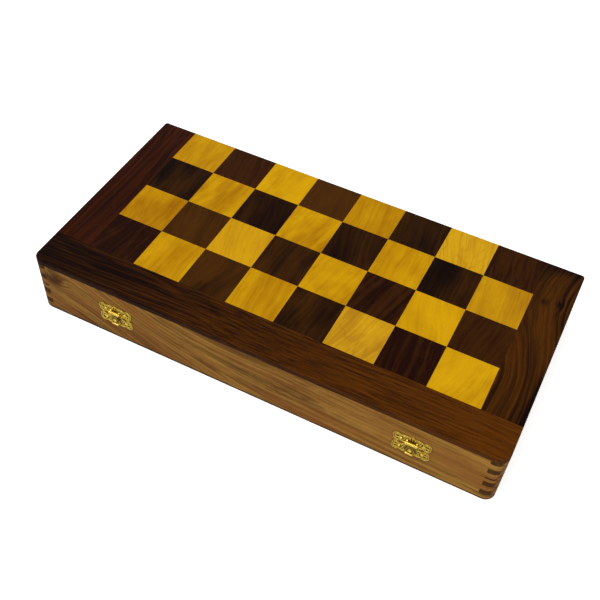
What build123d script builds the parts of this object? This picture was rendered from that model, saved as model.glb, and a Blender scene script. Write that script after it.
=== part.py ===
from build123d import *
import os
from typing import NamedTuple

os.makedirs("parts", exist_ok=True)

# A folding chess set. Two finger-jointed half boxes are hinged along the back and carry half of the
# board each on their outer faces. Each half holds one side's men in a foam insert.
# Sizes are in millimetres. X runs along the box, Y towards the hinges and Z up, and the origin is the
# centre of the underside. Both halves are built playing face down, and the lid is then turned over.

# Board
square_side = 48.0
columns = 8
rows = 4
hinge_row_loss = 2.0  # sawn and planed off the row beside the hinges
side_rail_width = 36.6
front_rail_width = 38.6
lid_square_thickness = 2.5
lid_panel_thickness = 3.0
tray_square_thickness = 1.5  # the tray's playing face is thinner than the lid's
tray_panel_thickness = 1.2
panel_lap = 8.0  # reach of the panel under each rail
edge_round = 1.2
front_corner_radius = 9.5
hinge_corner_radius = 3.0

# Walls
wall_thickness = 13.0
fingers_per_half = 5
finger_height = 6.6
lid_finger_start = 3.4  # where the first finger would begin, of which the playing face leaves the rest
tray_finger_start = 1.5
parting_gap = 0.2

# Foam inserts
soft_gap = 0.3
foam_floor = 1.5
headroom = 0.6  # between the thickest man and the rim
pocket_fit = 0.4
officer_inset = 14.0
pawn_inset = 20.0

# Hinges
hinge_inset = 95.0  # from each end of the box to the middle of a hinge
hinge_length = 32.0
hinge_setback = 0.15  # of the hinge axis behind the back walls
leaf_width = 10.0
leaf_thickness = 1.0
leaf_fit = 0.1
barrel_count = 5
barrel_radius = 2.25
barrel_gap = 0.15
hinge_pin_radius = 1.0
hinge_pin_head_radius = 1.5
hinge_pin_head = 0.5
pin_grip_fit = 0.02  # round the pin in the tray's barrels, which hold it
running_fit = 0.05
screws_per_leaf = 3
screw_pitch = 10.5
screw_inset = 6.0  # from the back of the wall to the row of screws
screw_head_radius = 1.9
screw_shank_radius = 1.1
screw_length = 9.0
screw_slot_width = 0.6
screw_slot_depth = 0.4
fastener_fit = 0.05

# Clasps
left_clasp_inset = 88.0  # from the left end of the box to the middle of the clasp
right_clasp_inset = 77.0
clasp_plate = 1.0
clasp_parting = 0.4  # from the parting line to the edge of each plate
wing_reach = 13.2
wing_upper_radius = 4.3
wing_upper_rise = 7.5
wing_lower_radius = 3.7
neck_reach = 6.9
neck_radius = 5.1
neck_rise = 6.3
crest_radius = 2.2
crest_rise = 10.6
upper_piercing_radius = 1.4
lower_piercing_radius = 1.0
neck_piercing_radius = 0.9
neck_piercing_shift = 2.1
nail_reach = 10.1
nail_rise = 5.6
nail_head_radius = 1.1
nail_head_height = 0.6
nail_shank_radius = 0.5
nail_length = 7.0
knuckle_rise = 5.2
knuckle_radius = 1.5
knuckle_gap = 0.15
ear_width = 1.5
tongue_width = 7.2
tongue_thickness = 0.9
tongue_drop = 8.4  # from the parting line down to the curled lip
tongue_scallop_radius = 1.2
lip_radius = 0.9
tongue_boss_radius = 2.0
tongue_boss_height = 0.7
tongue_pin_radius = 0.6
tongue_pin_head_radius = 1.0
tongue_pin_head = 0.4
catch_drop = 5.6
catch_length = 6.0
catch_gap = 0.15

# Chess men: details they share
felt_thickness = 0.8
felt_inset = 1.0
foot_rim = 3.2
foot_swell = 0.7
foot_step = 1.9
stem_hollow = 0.75  # share of the waist's radius in the radius at the middle of a stem
collar_thickness = 1.8
collar_swell = 0.5
neck_step = 2.6
ball_radius = 1.7
cross_span = 7.0
cross_arm = 2.2
cross_thickness = 2.0
crown_notches = 8
crown_notch_radius = 1.5
battlements = 6
battlement_width = 1.8
battlement_depth = 2.6
rook_wall = 2.4
mitre_slot = 1.1
mitre_angle = 35.0
horse_thickness = 8.6

# Chess men: radii and heights of each kind, from its wooden foot up
king_height = 70.0
king_base = 12.0
king_waist = 4.2
king_collar = 7.6
king_collar_height = 43.0
king_head = 6.8
king_foot_length = 15.0
queen_height = 62.0
queen_base = 11.5
queen_waist = 4.0
queen_collar = 7.2
queen_collar_height = 38.0
queen_head = 6.4
queen_foot_length = 14.0
bishop_height = 52.0
bishop_base = 10.5
bishop_waist = 3.7
bishop_collar = 6.6
bishop_collar_height = 30.0
bishop_head = 5.2
bishop_foot_length = 13.0
knight_height = 46.0
knight_base = 10.5
knight_waist = 7.6
knight_collar = 8.6
knight_collar_height = 10.0
knight_head = 8.4
knight_foot_length = 13.0
rook_height = 40.0
rook_base = 10.0
rook_waist = 5.2
rook_collar = 7.2
rook_collar_height = 26.0
rook_head = 7.4
rook_foot_length = 12.0
pawn_height = 34.0
pawn_base = 9.0
pawn_waist = 3.3
pawn_collar = 5.8
pawn_collar_height = 20.5
pawn_head = 4.9
pawn_foot_length = 11.0
officer_row = ("rook", "knight", "bishop", "queen", "king", "bishop", "knight", "rook")

# The knight's horse from chest to nape, as shares of its reach and of its height above the collar
horse_chest_reach = 0.60
horse_breast = (0.70, 0.20)
horse_face = ((0.36, 0.42), (0.78, 0.40), (1.0, 0.50), (0.96, 0.62), (0.40, 0.86), (0.18, 1.0), (-0.12, 0.88))
horse_mane = (-0.92, 0.46)
horse_nape_reach = -0.74
horse_bevel = 0.041


class Layers(NamedTuple):
    """Heights in one half: its squares, the panel that carries them and where its fingers begin."""

    squares: float
    panel: float
    finger_start: float

    @property
    def total(self):
        """Give the thickness of the whole playing face, which is the rails' too."""
        return self.squares + self.panel


class ManShape(NamedTuple):
    """Sizes of one kind of man, all from its wooden foot up."""

    height: float
    base: float
    waist: float
    collar: float
    collar_at: float
    head: float
    foot_length: float


lid_layers = Layers(lid_square_thickness, lid_panel_thickness, lid_finger_start)
tray_layers = Layers(tray_square_thickness, tray_panel_thickness, tray_finger_start)
king_shape = ManShape(
    king_height, king_base, king_waist, king_collar, king_collar_height, king_head, king_foot_length
)
queen_shape = ManShape(
    queen_height, queen_base, queen_waist, queen_collar, queen_collar_height, queen_head, queen_foot_length
)
bishop_shape = ManShape(
    bishop_height,
    bishop_base,
    bishop_waist,
    bishop_collar,
    bishop_collar_height,
    bishop_head,
    bishop_foot_length,
)
knight_shape = ManShape(
    knight_height,
    knight_base,
    knight_waist,
    knight_collar,
    knight_collar_height,
    knight_head,
    knight_foot_length,
)
rook_shape = ManShape(
    rook_height, rook_base, rook_waist, rook_collar, rook_collar_height, rook_head, rook_foot_length
)
pawn_shape = ManShape(
    pawn_height, pawn_base, pawn_waist, pawn_collar, pawn_collar_height, pawn_head, pawn_foot_length
)

# Sizes that follow
grid_length = columns * square_side
grid_width = rows * square_side - hinge_row_loss
box_length = grid_length + 2 * side_rail_width
box_width = grid_width + front_rail_width
end_x = box_length / 2
back_y = box_width / 2
grid_x = grid_length / 2
grid_front_y = back_y - grid_width
insert_top = lid_layers.total + soft_gap + foam_floor + king_shape.base
rim = insert_top + king_shape.base + headroom
half_height = rim + parting_gap / 2
inner_x = end_x - wall_thickness
inner_y = back_y - wall_thickness
insert_x = inner_x - soft_gap
insert_y = inner_y - soft_gap
men_pitch = 2 * insert_x / len(officer_row)
hinge_y = back_y + hinge_setback
hinge_centres = (-end_x + hinge_inset, end_x - hinge_inset)
clasp_centres = (-end_x + left_clasp_inset, end_x - right_clasp_inset)
tongue_bore_radius = tongue_pin_radius + running_fit
knuckle_out = clasp_plate + knuckle_radius + knuckle_gap
ear_inner = tongue_width / 2 + knuckle_gap
ear_outer = ear_inner + ear_width
catch_radius = knuckle_out - tongue_thickness / 2 - catch_gap - clasp_plate


def block(x_span, y_span, z_span):
    """Make a rectangular block between two limits on each axis."""
    spans = (x_span, y_span, z_span)
    low = [min(span) for span in spans]
    sides = [max(span) - min(span) for span in spans]
    return Pos(*low) * Box(*sides, align=(Align.MIN, Align.MIN, Align.MIN))


def rod(radius, x_span, y, z):
    """Make a round rod along X."""
    length = max(x_span) - min(x_span)
    return Pos(sum(x_span) / 2, y, z) * Rot(0, 90, 0) * Cylinder(radius, length)


def turned_over(shape):
    """Turn a piece of the lid from its building place to its closed place on the tray."""
    return Pos(0, 0, half_height) * Rot(0, 180, 0) * Pos(0, 0, -half_height) * shape


def group(shapes):
    """Hold separate solids of one node together."""
    return Compound(children=[solid for shape in shapes for solid in shape.solids()])


# Board and walls


def outline():
    """Draw the box seen from above, with smaller corner radii beside the hinges."""
    front_corners = Rectangle(box_length, box_width).vertices().group_by(Axis.Y)[0]
    front_rounded = fillet(front_corners, front_corner_radius)
    return fillet(front_rounded.vertices().group_by(Axis.Y)[-1], hinge_corner_radius)


def board_slab(layers):
    """Make the whole playing face with its rounded-over edge, before it is divided."""
    slab = extrude(outline(), layers.total)
    return fillet(slab.edges().group_by(Axis.Z)[0], edge_round)


def panel_block(layers):
    """Make the panel that carries the squares, with its laps under the rails."""
    reach = grid_x + panel_lap
    return block((-reach, reach), (grid_front_y - panel_lap, back_y), (layers.squares, layers.total))


def squares(slab, layers, parity):
    """Cut every second square of this half out of the slab."""
    pieces = []
    for column in range(columns):
        for row in range(rows):
            if (column + row) % 2 != parity:
                continue
            left = column * square_side - grid_x
            front = grid_front_y + (rows - 1 - row) * square_side
            back = min(front + square_side, back_y)
            cell = block((left, left + square_side), (front, back), (0, layers.squares))
            pieces.append(slab & cell)
    return group(pieces)


def front_rail(slab, layers):
    """Cut the rail along the front out of the slab, with the rebate for the panel."""
    strip = block((-end_x, end_x), (-back_y, grid_front_y), (0, layers.total))
    return slab & strip - panel_block(layers)


def side_rail(slab, layers, side):
    """Cut the rail at one end out of the slab. It butts against the front rail."""
    strip = block((side * grid_x, side * end_x), (grid_front_y, back_y), (0, layers.total))
    return slab & strip - panel_block(layers)


def finger_blocks(layers, first):
    """Make the blocks of every second finger at all four corners, from the board towards the rim."""
    blocks = []
    for index in range(first, fingers_per_half, 2):
        low = layers.finger_start + index * finger_height
        for x_side in (-1, 1):
            for y_side in (-1, 1):
                x_span = (x_side * inner_x, x_side * end_x)
                y_span = (y_side * inner_y, y_side * back_y)
                blocks.append(block(x_span, y_span, (low, low + finger_height)))
    return blocks


def long_wall(shell, layers, side, first_side_finger):
    """Make the front or back wall, without the fingers that belong to the end walls."""
    bar = shell & block((-end_x, end_x), (side * inner_y, side * back_y), (layers.total, rim))
    return bar - finger_blocks(layers, first_side_finger)


def end_wall(shell, layers, side, first_side_finger):
    """Make one end wall, without the fingers that belong to the front and back walls."""
    bar = shell & block((side * inner_x, side * end_x), (-back_y, back_y), (layers.total, rim))
    return bar - finger_blocks(layers, 1 - first_side_finger)


def hinge_seats():
    """Make the cuts in a back wall for the leaves, the barrels and the screws."""
    half_leaf = hinge_length / 2 + leaf_fit
    half_notch = half_leaf + hinge_pin_head + 2 * barrel_gap
    seat_y = (back_y - leaf_width - leaf_fit, hinge_y)
    seat_z = (rim - leaf_thickness, half_height)
    cuts = []
    for centre in hinge_centres:
        cuts.append(block((centre - half_leaf, centre + half_leaf), seat_y, seat_z))
        notch_span = (centre - half_notch, centre + half_notch)
        cuts.append(rod(barrel_radius + 2 * barrel_gap, notch_span, hinge_y, half_height))
    return cuts + [at * screw_hole() for at in screw_places()]


def nail_holes(centres):
    """Make the pilot holes for the clasp nails in a front wall."""
    radius = nail_shank_radius + fastener_fit
    depth = nail_length + fastener_fit
    return [at * Cylinder(radius, 2 * depth) for at in nail_places(centres)]


# Foam inserts


def man_axes():
    """List where each man of a half lies, as its kind, the X of its axis, its foot and its direction."""
    places = []
    for index, kind in enumerate(officer_row):
        x = (index + 0.5) * men_pitch - insert_x
        places.append((kind, x, insert_y - officer_inset, -1))
        places.append(("pawn", x, -insert_y + pawn_inset, 1))
    return places


def laid(man, x, foot_y, direction):
    """Lay an upright man on its side along Y, with its axis level with the top of the foam."""
    return Pos(x, foot_y, insert_top) * Rot(-90 * direction, 0, 0) * man


def pocket(kind, x, foot_y, direction):
    """Make the two-step trough that one man lies in."""
    shape = man_shapes[kind]
    body = max(shape.collar, shape.head)
    if kind == "knight":
        body = shape.base
    foot_depth = felt_thickness + pocket_fit
    foot_run = foot_depth + shape.foot_length
    body_run = foot_depth + shape.height + pocket_fit
    steps = ((shape.base, foot_run), (body, body_run))
    trough = []
    for radius, run in steps:
        drum = Cylinder(radius + pocket_fit, run, align=(Align.CENTER, Align.CENTER, Align.MIN))
        trough.append(laid(Pos(0, 0, -foot_depth) * drum, x, foot_y, direction))
    return trough


def insert(layers):
    """Make the foam insert with a pocket for each man."""
    foam = block((-insert_x, insert_x), (-insert_y, insert_y), (layers.total + soft_gap, insert_top))
    return foam - [step for place in man_axes() for step in pocket(*place)]


# Hinges


def barrel_spans(centre, first):
    """List the X spans of every second barrel of a hinge."""
    length = (hinge_length - (barrel_count - 1) * barrel_gap) / barrel_count
    start = centre - hinge_length / 2
    lows = [start + index * (length + barrel_gap) for index in range(first, barrel_count, 2)]
    return [(low, low + length) for low in lows]


def hinge_leaf(centre, first_barrel, pin_fit):
    """Make one leaf, let into the rim, with its barrels round the hinge axis."""
    leaf_span = (centre - hinge_length / 2, centre + hinge_length / 2)
    leaf = block(leaf_span, (back_y - leaf_width, hinge_y), (rim - leaf_thickness, rim))
    for low, high in barrel_spans(centre, 1 - first_barrel):
        leaf -= rod(barrel_radius + barrel_gap, (low - barrel_gap, high + barrel_gap), hinge_y, half_height)
    for span in barrel_spans(centre, first_barrel):
        leaf += rod(barrel_radius, span, hinge_y, half_height)
    leaf -= rod(hinge_pin_radius + pin_fit, leaf_span, hinge_y, half_height)
    return leaf - [at * screw_hole() for at in screw_places()]


def hinge_pin(centre):
    """Make a hinge pin with a small head at each end."""
    reach = hinge_length / 2 + barrel_gap
    pin = rod(hinge_pin_radius, (centre - reach, centre + reach), hinge_y, half_height)
    for side in (-1, 1):
        span = (centre + side * reach, centre + side * (reach + hinge_pin_head))
        pin += rod(hinge_pin_head_radius, span, hinge_y, half_height)
    return pin


def screw_places():
    """List the places of the hinge screws in one half, at the face of the rim."""
    middle = (screws_per_leaf - 1) / 2
    offsets = [(index - middle) * screw_pitch for index in range(screws_per_leaf)]
    return [Pos(centre + offset, back_y - screw_inset, rim) for centre in hinge_centres for offset in offsets]


def countersunk(extra):
    """Make a countersunk screw's body below its face, larger all round by the extra."""
    cone_height = screw_head_radius - screw_shank_radius
    top = (Align.CENTER, Align.CENTER, Align.MAX)
    cone = Cone(screw_shank_radius + extra, screw_head_radius + extra, cone_height, align=top)
    return cone + Cylinder(screw_shank_radius + extra, screw_length + extra, align=top)


def screw():
    """Make a slotted countersunk screw."""
    slot = Box(2 * screw_head_radius, screw_slot_width, 2 * screw_slot_depth)
    return countersunk(0) - slot


def screw_hole():
    """Make the hole that a screw sits in, through the leaf and into the wall."""
    return countersunk(fastener_fit)


# Clasps


def clasp_plane(centre):
    """Give the plane of the front face at a clasp, with its second axis up and its third outwards."""
    return Plane(origin=(centre, -back_y, half_height), x_dir=(1, 0, 0), z_dir=(0, -1, 0))


def nail_places(centres):
    """List the places of the nails below the parting line for clasps at these X, at the front face."""
    places = []
    for centre in centres:
        for side in (-1, 1):
            places.append(Location(clasp_plane(centre)) * Pos(side * nail_reach, -nail_rise, 0))
    return places


def nail():
    """Make a small round-headed nail with its head on a clasp plate."""
    dome_radius = (nail_head_radius**2 + nail_head_height**2) / (2 * nail_head_height)
    ball = Pos(0, 0, clasp_plate + nail_head_height - dome_radius) * Sphere(dome_radius)
    cap = Box(4 * dome_radius, 4 * dome_radius, nail_head_height)
    head = ball & Pos(0, 0, clasp_plate + nail_head_height / 2) * cap
    shank_bottom = (Align.CENTER, Align.CENTER, Align.MAX)
    shank = Cylinder(nail_shank_radius, clasp_plate + nail_length, align=shank_bottom)
    return head + Pos(0, 0, clasp_plate) * shank


def clasp_nails(centres):
    """Make the nails below the parting line for clasps at these X."""
    return group([at * nail() for at in nail_places(centres)])


def butterfly(crest):
    """Draw a pierced butterfly plate above the parting line."""
    lower_rise = clasp_parting + wing_lower_radius
    waist_height = neck_rise + neck_radius - clasp_parting
    plate = Pos(0, clasp_parting + waist_height / 2) * Rectangle(2 * neck_reach, waist_height)
    if crest:
        plate += Pos(0, crest_rise) * Circle(crest_radius)
    for side in (-1, 1):
        plate += Pos(side * neck_reach, neck_rise) * Circle(neck_radius)
        plate += Pos(side * wing_reach, wing_upper_rise) * Circle(wing_upper_radius)
        plate += Pos(side * wing_reach, lower_rise) * Circle(wing_lower_radius)
    for side in (-1, 1):
        plate -= Pos(side * wing_reach, wing_upper_rise) * Circle(upper_piercing_radius)
        plate -= Pos(side * wing_reach, lower_rise) * Circle(lower_piercing_radius)
        for shift in (-neck_piercing_shift, neck_piercing_shift):
            plate -= Pos(side * neck_reach, neck_rise + shift) * Circle(neck_piercing_radius)
        plate -= Pos(side * nail_reach, nail_rise) * Circle(nail_shank_radius + fastener_fit)
    return plate


def upper_plate(centre):
    """Make the plate on the lid, with two ears that carry the tongue's pin."""
    plate = Location(clasp_plane(centre)) * extrude(butterfly(True), clasp_plate)
    axis_y = -back_y - knuckle_out
    axis_z = half_height + knuckle_rise
    stem_y = (-back_y - clasp_plate / 2, axis_y)
    stem_z = (axis_z - knuckle_radius, axis_z + knuckle_radius)
    for side in (-1, 1):
        span = (centre + side * ear_inner, centre + side * ear_outer)
        plate += block(span, stem_y, stem_z) + rod(knuckle_radius, span, axis_y, axis_z)
    return plate - rod(tongue_bore_radius, (centre - ear_outer, centre + ear_outer), axis_y, axis_z)


def lower_plate(centre):
    """Make the plate on the tray, with the round bead that the tongue rides over."""
    outline_below = mirror(butterfly(False), about=Plane.XZ)
    plate = Location(clasp_plane(centre)) * extrude(outline_below, clasp_plate)
    bead_span = (centre - catch_length / 2, centre + catch_length / 2)
    bead = rod(catch_radius, bead_span, -back_y - clasp_plate, half_height - catch_drop)
    outside_y = (-back_y - clasp_plate / 2, -back_y - clasp_plate - catch_radius)
    outside = block((centre - catch_length, centre + catch_length), outside_y, (0, half_height))
    return plate + (bead & outside)


def tongue(centre):
    """Make the hinged tongue, with its barrel, scalloped strap, round boss and curled lip."""
    length = knuckle_rise + tongue_drop
    strap = Pos(0, (knuckle_rise - tongue_drop) / 2) * Rectangle(tongue_width, length)
    for side in (-1, 1):
        strap -= Pos(side * tongue_width / 2, 0) * Circle(tongue_scallop_radius)
    plane = Location(clasp_plane(centre)) * Pos(0, 0, knuckle_out - tongue_thickness / 2)
    axis_y = -back_y - knuckle_out
    axis_z = half_height + knuckle_rise
    span = (centre - tongue_width / 2, centre + tongue_width / 2)
    piece = plane * extrude(strap, tongue_thickness)
    piece += rod(knuckle_radius, span, axis_y, axis_z)
    piece += rod(lip_radius, span, axis_y - lip_radius + tongue_thickness / 2, half_height - tongue_drop)
    boss_height = tongue_boss_height + tongue_thickness / 2
    boss_foot = (Align.CENTER, Align.CENTER, Align.MIN)
    boss = Cone(tongue_boss_radius, tongue_boss_radius / 2, boss_height, align=boss_foot)
    piece += plane * Pos(0, -catch_drop / 2 - tongue_scallop_radius, tongue_thickness / 2) * boss
    return piece - rod(tongue_bore_radius, span, axis_y, axis_z)


def tongue_pin(centre):
    """Make the pin that holds the tongue between the ears."""
    axis_y = -back_y - knuckle_out
    axis_z = half_height + knuckle_rise
    reach = ear_outer + running_fit
    pin = rod(tongue_pin_radius, (centre - reach, centre + reach), axis_y, axis_z)
    for side in (-1, 1):
        span = (centre + side * reach, centre + side * (reach + tongue_pin_head))
        pin += rod(tongue_pin_head_radius, span, axis_y, axis_z)
    return pin


# Chess men


def turned(edges):
    """Turn a profile round Z. Its edges run from the middle of the foot to the middle of the top."""
    closing = Line(edges[-1] @ 1, edges[0] @ 0)
    return revolve(Plane.XZ * make_face(Curve() + [*edges, closing]), Axis.Z)


def bulge(low, high, swell):
    """Draw an edge between two profile points that swells outwards at its middle."""
    middle = ((low[0] + high[0]) / 2 + swell, (low[1] + high[1]) / 2)
    return ThreePointArc(low, middle, high)


def lower_profile(shape):
    """Draw the foot, the hollow stem and the collar that all the turned men share."""
    edge = shape.base - foot_swell
    shoulder = edge - foot_step
    collar_edge = shape.collar - collar_swell
    collar_top = shape.collar_at + collar_thickness
    neck = shape.collar - neck_step
    stem_low = (shoulder, foot_rim)
    stem_high = (shape.waist, shape.collar_at)
    stem_radius = stem_hollow * shape.waist + (1 - stem_hollow) * shoulder
    stem_middle = (stem_radius, (foot_rim + shape.collar_at) / 2 - foot_step)
    return [
        Line((0, 0), (edge, 0)),
        bulge((edge, 0), (edge, foot_rim), foot_swell),
        Line((edge, foot_rim), stem_low),
        ThreePointArc(stem_low, stem_middle, stem_high),
        Line(stem_high, (collar_edge, shape.collar_at)),
        bulge((collar_edge, shape.collar_at), (collar_edge, collar_top), collar_swell),
        Line((collar_edge, collar_top), (neck, collar_top)),
    ]


def pawn():
    """Turn a pawn with a round head."""
    shape = pawn_shape
    edges = lower_profile(shape)
    neck = edges[-1] @ 1
    centre_z = shape.height - shape.head
    head_start = (neck.X, centre_z - (shape.head**2 - neck.X**2) ** 0.5)
    head = ThreePointArc(head_start, (shape.head, centre_z), (0, shape.height))
    return turned([*edges, Line((neck.X, neck.Y), head_start), head])


def bishop():
    """Turn a bishop with a pointed mitre, a slanting slot and a small ball on top."""
    shape = bishop_shape
    edges = lower_profile(shape)
    neck = edges[-1] @ 1
    mitre_top = shape.height - ball_radius
    belly_z = (2 * neck.Y + mitre_top) / 3
    mitre = ThreePointArc((neck.X, neck.Y), (shape.head, belly_z), (0, mitre_top))
    body = turned([*edges, mitre]) + Pos(0, 0, mitre_top) * Sphere(ball_radius)
    slot = Box(2 * shape.head, 2 * shape.head, mitre_slot, align=(Align.MIN, Align.CENTER, Align.CENTER))
    return body - Pos(0, 0, (belly_z + mitre_top) / 2) * Rot(0, -mitre_angle, 0) * slot


def crown_profile(shape, top):
    """Draw a flared crown from the collar to its rim, down its hollow, to the middle."""
    edges = lower_profile(shape)
    neck = edges[-1] @ 1
    rim_z = top - neck_step
    return edges + [
        Line((neck.X, neck.Y), (shape.head, rim_z)),
        Line((shape.head, rim_z), (shape.head - collar_swell, rim_z + collar_swell)),
        ThreePointArc(
            (shape.head - collar_swell, rim_z + collar_swell), (shape.head / 2, top - collar_swell), (0, top)
        ),
    ]


def queen():
    """Turn a queen with a notched coronet and a ball."""
    shape = queen_shape
    top = shape.height - 2 * ball_radius + collar_swell
    body = turned(crown_profile(shape, top))
    notch_z = top - neck_step + crown_notch_radius / 2
    for index in range(crown_notches):
        turn = Rot(0, 0, index * 360 / crown_notches)
        body -= turn * Pos(shape.head, 0, notch_z) * Sphere(crown_notch_radius)
    return body + Pos(0, 0, shape.height - ball_radius) * Sphere(ball_radius)


def king():
    """Turn a king with a plain crown and a cross."""
    shape = king_shape
    top = shape.height - cross_span
    arm_z = shape.height - cross_span / 2
    upright = Pos(0, 0, shape.height) * Box(
        cross_arm, cross_thickness, cross_span + collar_swell, align=(Align.CENTER, Align.CENTER, Align.MAX)
    )
    arms = Pos(0, 0, arm_z) * Box(cross_span, cross_thickness, cross_arm)
    return turned(crown_profile(shape, top)) + upright + arms


def rook():
    """Turn a rook with a hollow tower and battlements."""
    shape = rook_shape
    edges = lower_profile(shape)
    neck = edges[-1] @ 1
    floor_z = shape.height - battlement_depth
    well = shape.head - rook_wall
    tower = [
        Line((neck.X, neck.Y), (shape.head, floor_z - battlement_depth)),
        Line((shape.head, floor_z - battlement_depth), (shape.head, shape.height)),
        Line((shape.head, shape.height), (well, shape.height)),
        Line((well, shape.height), (well, floor_z)),
        Line((well, floor_z), (0, floor_z)),
    ]
    body = turned(edges + tower)
    slot = Pos(0, 0, floor_z) * Box(
        2 * shape.head, battlement_width, 2 * battlement_depth, align=(Align.MIN, Align.CENTER, Align.MIN)
    )
    return body - [Rot(0, 0, index * 360 / battlements) * slot for index in range(battlements)]


def knight():
    """Carve a knight: a horse's head and neck on a turned foot."""
    shape = knight_shape
    collar_top = shape.collar_at + collar_thickness
    foot = turned([*lower_profile(shape), Line((shape.collar - neck_step, collar_top), (0, collar_top))])
    tall = shape.height - collar_top
    chest = (horse_chest_reach * shape.head, collar_top - collar_swell)
    nape = (horse_nape_reach * shape.head, collar_top - collar_swell)
    breast, mane, *face = [
        (x * shape.head, collar_top + z * tall) for x, z in (horse_breast, horse_mane, *horse_face)
    ]
    outline_edges = [
        ThreePointArc(chest, breast, face[0]),
        *Polyline(*face).edges(),
        ThreePointArc(face[-1], mane, nape),
        Line(nape, chest),
    ]
    side = Plane.XZ * make_face(Curve() + outline_edges)
    head = extrude(side, horse_thickness / 2, both=True)
    flanks = head.faces().sort_by(Axis.Y)
    edges = flanks[0].edges() + flanks[-1].edges()
    return foot + chamfer(edges, horse_bevel * tall)


man_shapes = {
    "king": king_shape,
    "queen": queen_shape,
    "bishop": bishop_shape,
    "knight": knight_shape,
    "rook": rook_shape,
    "pawn": pawn_shape,
}
man_makers = {"king": king, "queen": queen, "bishop": bishop, "knight": knight, "rook": rook, "pawn": pawn}


def men(kind):
    """Lay every man of one kind in its pockets."""
    man = man_makers[kind]()
    return group([laid(man, *place) for name, *place in man_axes() if name == kind])


def base_felts():
    """Lay the felt disc under the foot of each man."""
    below = (Align.CENTER, Align.CENTER, Align.MAX)
    felts = []
    for kind, *place in man_axes():
        disc = Cylinder(man_shapes[kind].base - felt_inset, felt_thickness, align=below)
        felts.append(laid(disc, *place))
    return group(felts)


# Assembly


def half_box(layers, left, first_side_finger):
    """Make the wooden pieces and the insert of one half, with its left end on the given side."""
    slab = board_slab(layers)
    shell = Pos(0, 0, layers.total) * extrude(outline(), rim - layers.total)
    front = long_wall(shell, layers, -1, first_side_finger)
    back = long_wall(shell, layers, 1, first_side_finger)
    nailed_at = [-left * centre for centre in clasp_centres]
    return {
        "front_wall": front - nail_holes(nailed_at),
        "back_wall": back - hinge_seats(),
        "left_wall": end_wall(shell, layers, left, first_side_finger),
        "right_wall": end_wall(shell, layers, -left, first_side_finger),
        "panel": panel_block(layers),
        "light_squares": squares(slab, layers, 1),
        "dark_squares": squares(slab, layers, 0),
        "front_rail": front_rail(slab, layers),
        "left_rail": side_rail(slab, layers, left),
        "right_rail": side_rail(slab, layers, -left),
        "foam_insert": insert(layers),
        "hinge_screws": group([at * screw() for at in screw_places()]),
    }


nodes = {}
for name, shape in half_box(tray_layers, -1, 1).items():
    nodes[f"tray_{name}"] = shape
for name, shape in half_box(lid_layers, 1, 0).items():
    nodes[f"lid_{name}"] = turned_over(shape)

nodes["tray_hinge_leaves"] = group([hinge_leaf(centre, 0, pin_grip_fit) for centre in hinge_centres])
lid_leaves = group([hinge_leaf(centre, 1, running_fit) for centre in hinge_centres])
nodes["lid_hinge_leaves"] = turned_over(lid_leaves)
nodes["hinge_pins"] = group([hinge_pin(centre) for centre in hinge_centres])

nodes["clasp_lower_plates"] = group([lower_plate(centre) for centre in clasp_centres])
nodes["clasp_upper_plates"] = group([upper_plate(centre) for centre in clasp_centres])
nodes["clasp_left_tongue"] = tongue(clasp_centres[0])
nodes["clasp_right_tongue"] = tongue(clasp_centres[1])
nodes["clasp_tongue_pins"] = group([tongue_pin(centre) for centre in clasp_centres])
nodes["clasp_lower_nails"] = clasp_nails(clasp_centres)
nodes["clasp_upper_nails"] = turned_over(clasp_nails([-centre for centre in clasp_centres]))

for kind in man_makers:
    plural = kind if kind in ("king", "queen") else f"{kind}s"
    laid_men = men(kind)
    nodes[f"black_{plural}"] = laid_men
    nodes[f"white_{plural}"] = turned_over(laid_men)
felts = base_felts()
nodes["black_base_felts"] = felts
nodes["white_base_felts"] = turned_over(felts)

for name, shape in nodes.items():
    export_step(shape, f"parts/{name}.step")
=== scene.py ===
"""Looks of a folding chess set: woods, brass fittings, foam inserts and turned men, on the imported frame."""

import logging
import math
from collections.abc import Callable, Iterable, Iterator, Sequence
from dataclasses import dataclass, field, fields
from enum import Enum
from functools import partial, partialmethod

import bmesh
import bpy
import numpy as np
from mathutils import Matrix, Vector


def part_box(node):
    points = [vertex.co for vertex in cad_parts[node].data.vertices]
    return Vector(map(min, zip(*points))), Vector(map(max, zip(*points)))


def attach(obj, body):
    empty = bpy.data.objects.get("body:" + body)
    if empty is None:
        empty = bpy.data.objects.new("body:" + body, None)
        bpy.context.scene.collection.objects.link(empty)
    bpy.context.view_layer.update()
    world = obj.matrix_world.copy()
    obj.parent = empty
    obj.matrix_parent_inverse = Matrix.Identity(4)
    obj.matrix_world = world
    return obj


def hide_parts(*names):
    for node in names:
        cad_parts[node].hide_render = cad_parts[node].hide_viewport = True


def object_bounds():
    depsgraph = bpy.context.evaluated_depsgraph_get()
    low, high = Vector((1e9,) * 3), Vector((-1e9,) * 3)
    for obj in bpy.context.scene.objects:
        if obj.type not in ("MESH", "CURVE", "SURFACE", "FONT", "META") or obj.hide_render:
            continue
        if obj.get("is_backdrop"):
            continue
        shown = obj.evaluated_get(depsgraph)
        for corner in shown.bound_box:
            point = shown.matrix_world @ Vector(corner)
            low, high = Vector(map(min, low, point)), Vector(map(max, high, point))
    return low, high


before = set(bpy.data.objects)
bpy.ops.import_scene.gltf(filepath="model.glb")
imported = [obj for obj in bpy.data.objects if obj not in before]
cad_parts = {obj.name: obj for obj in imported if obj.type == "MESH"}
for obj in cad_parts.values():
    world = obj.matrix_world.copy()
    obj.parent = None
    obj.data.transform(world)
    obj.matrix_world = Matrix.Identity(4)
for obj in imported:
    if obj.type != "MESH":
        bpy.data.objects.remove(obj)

CAD_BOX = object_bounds()
MM = 0.001
QUARTER = math.pi / 2
Number = float | int
Pair = tuple[float, float]
Point = tuple[float, float, float]
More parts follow.
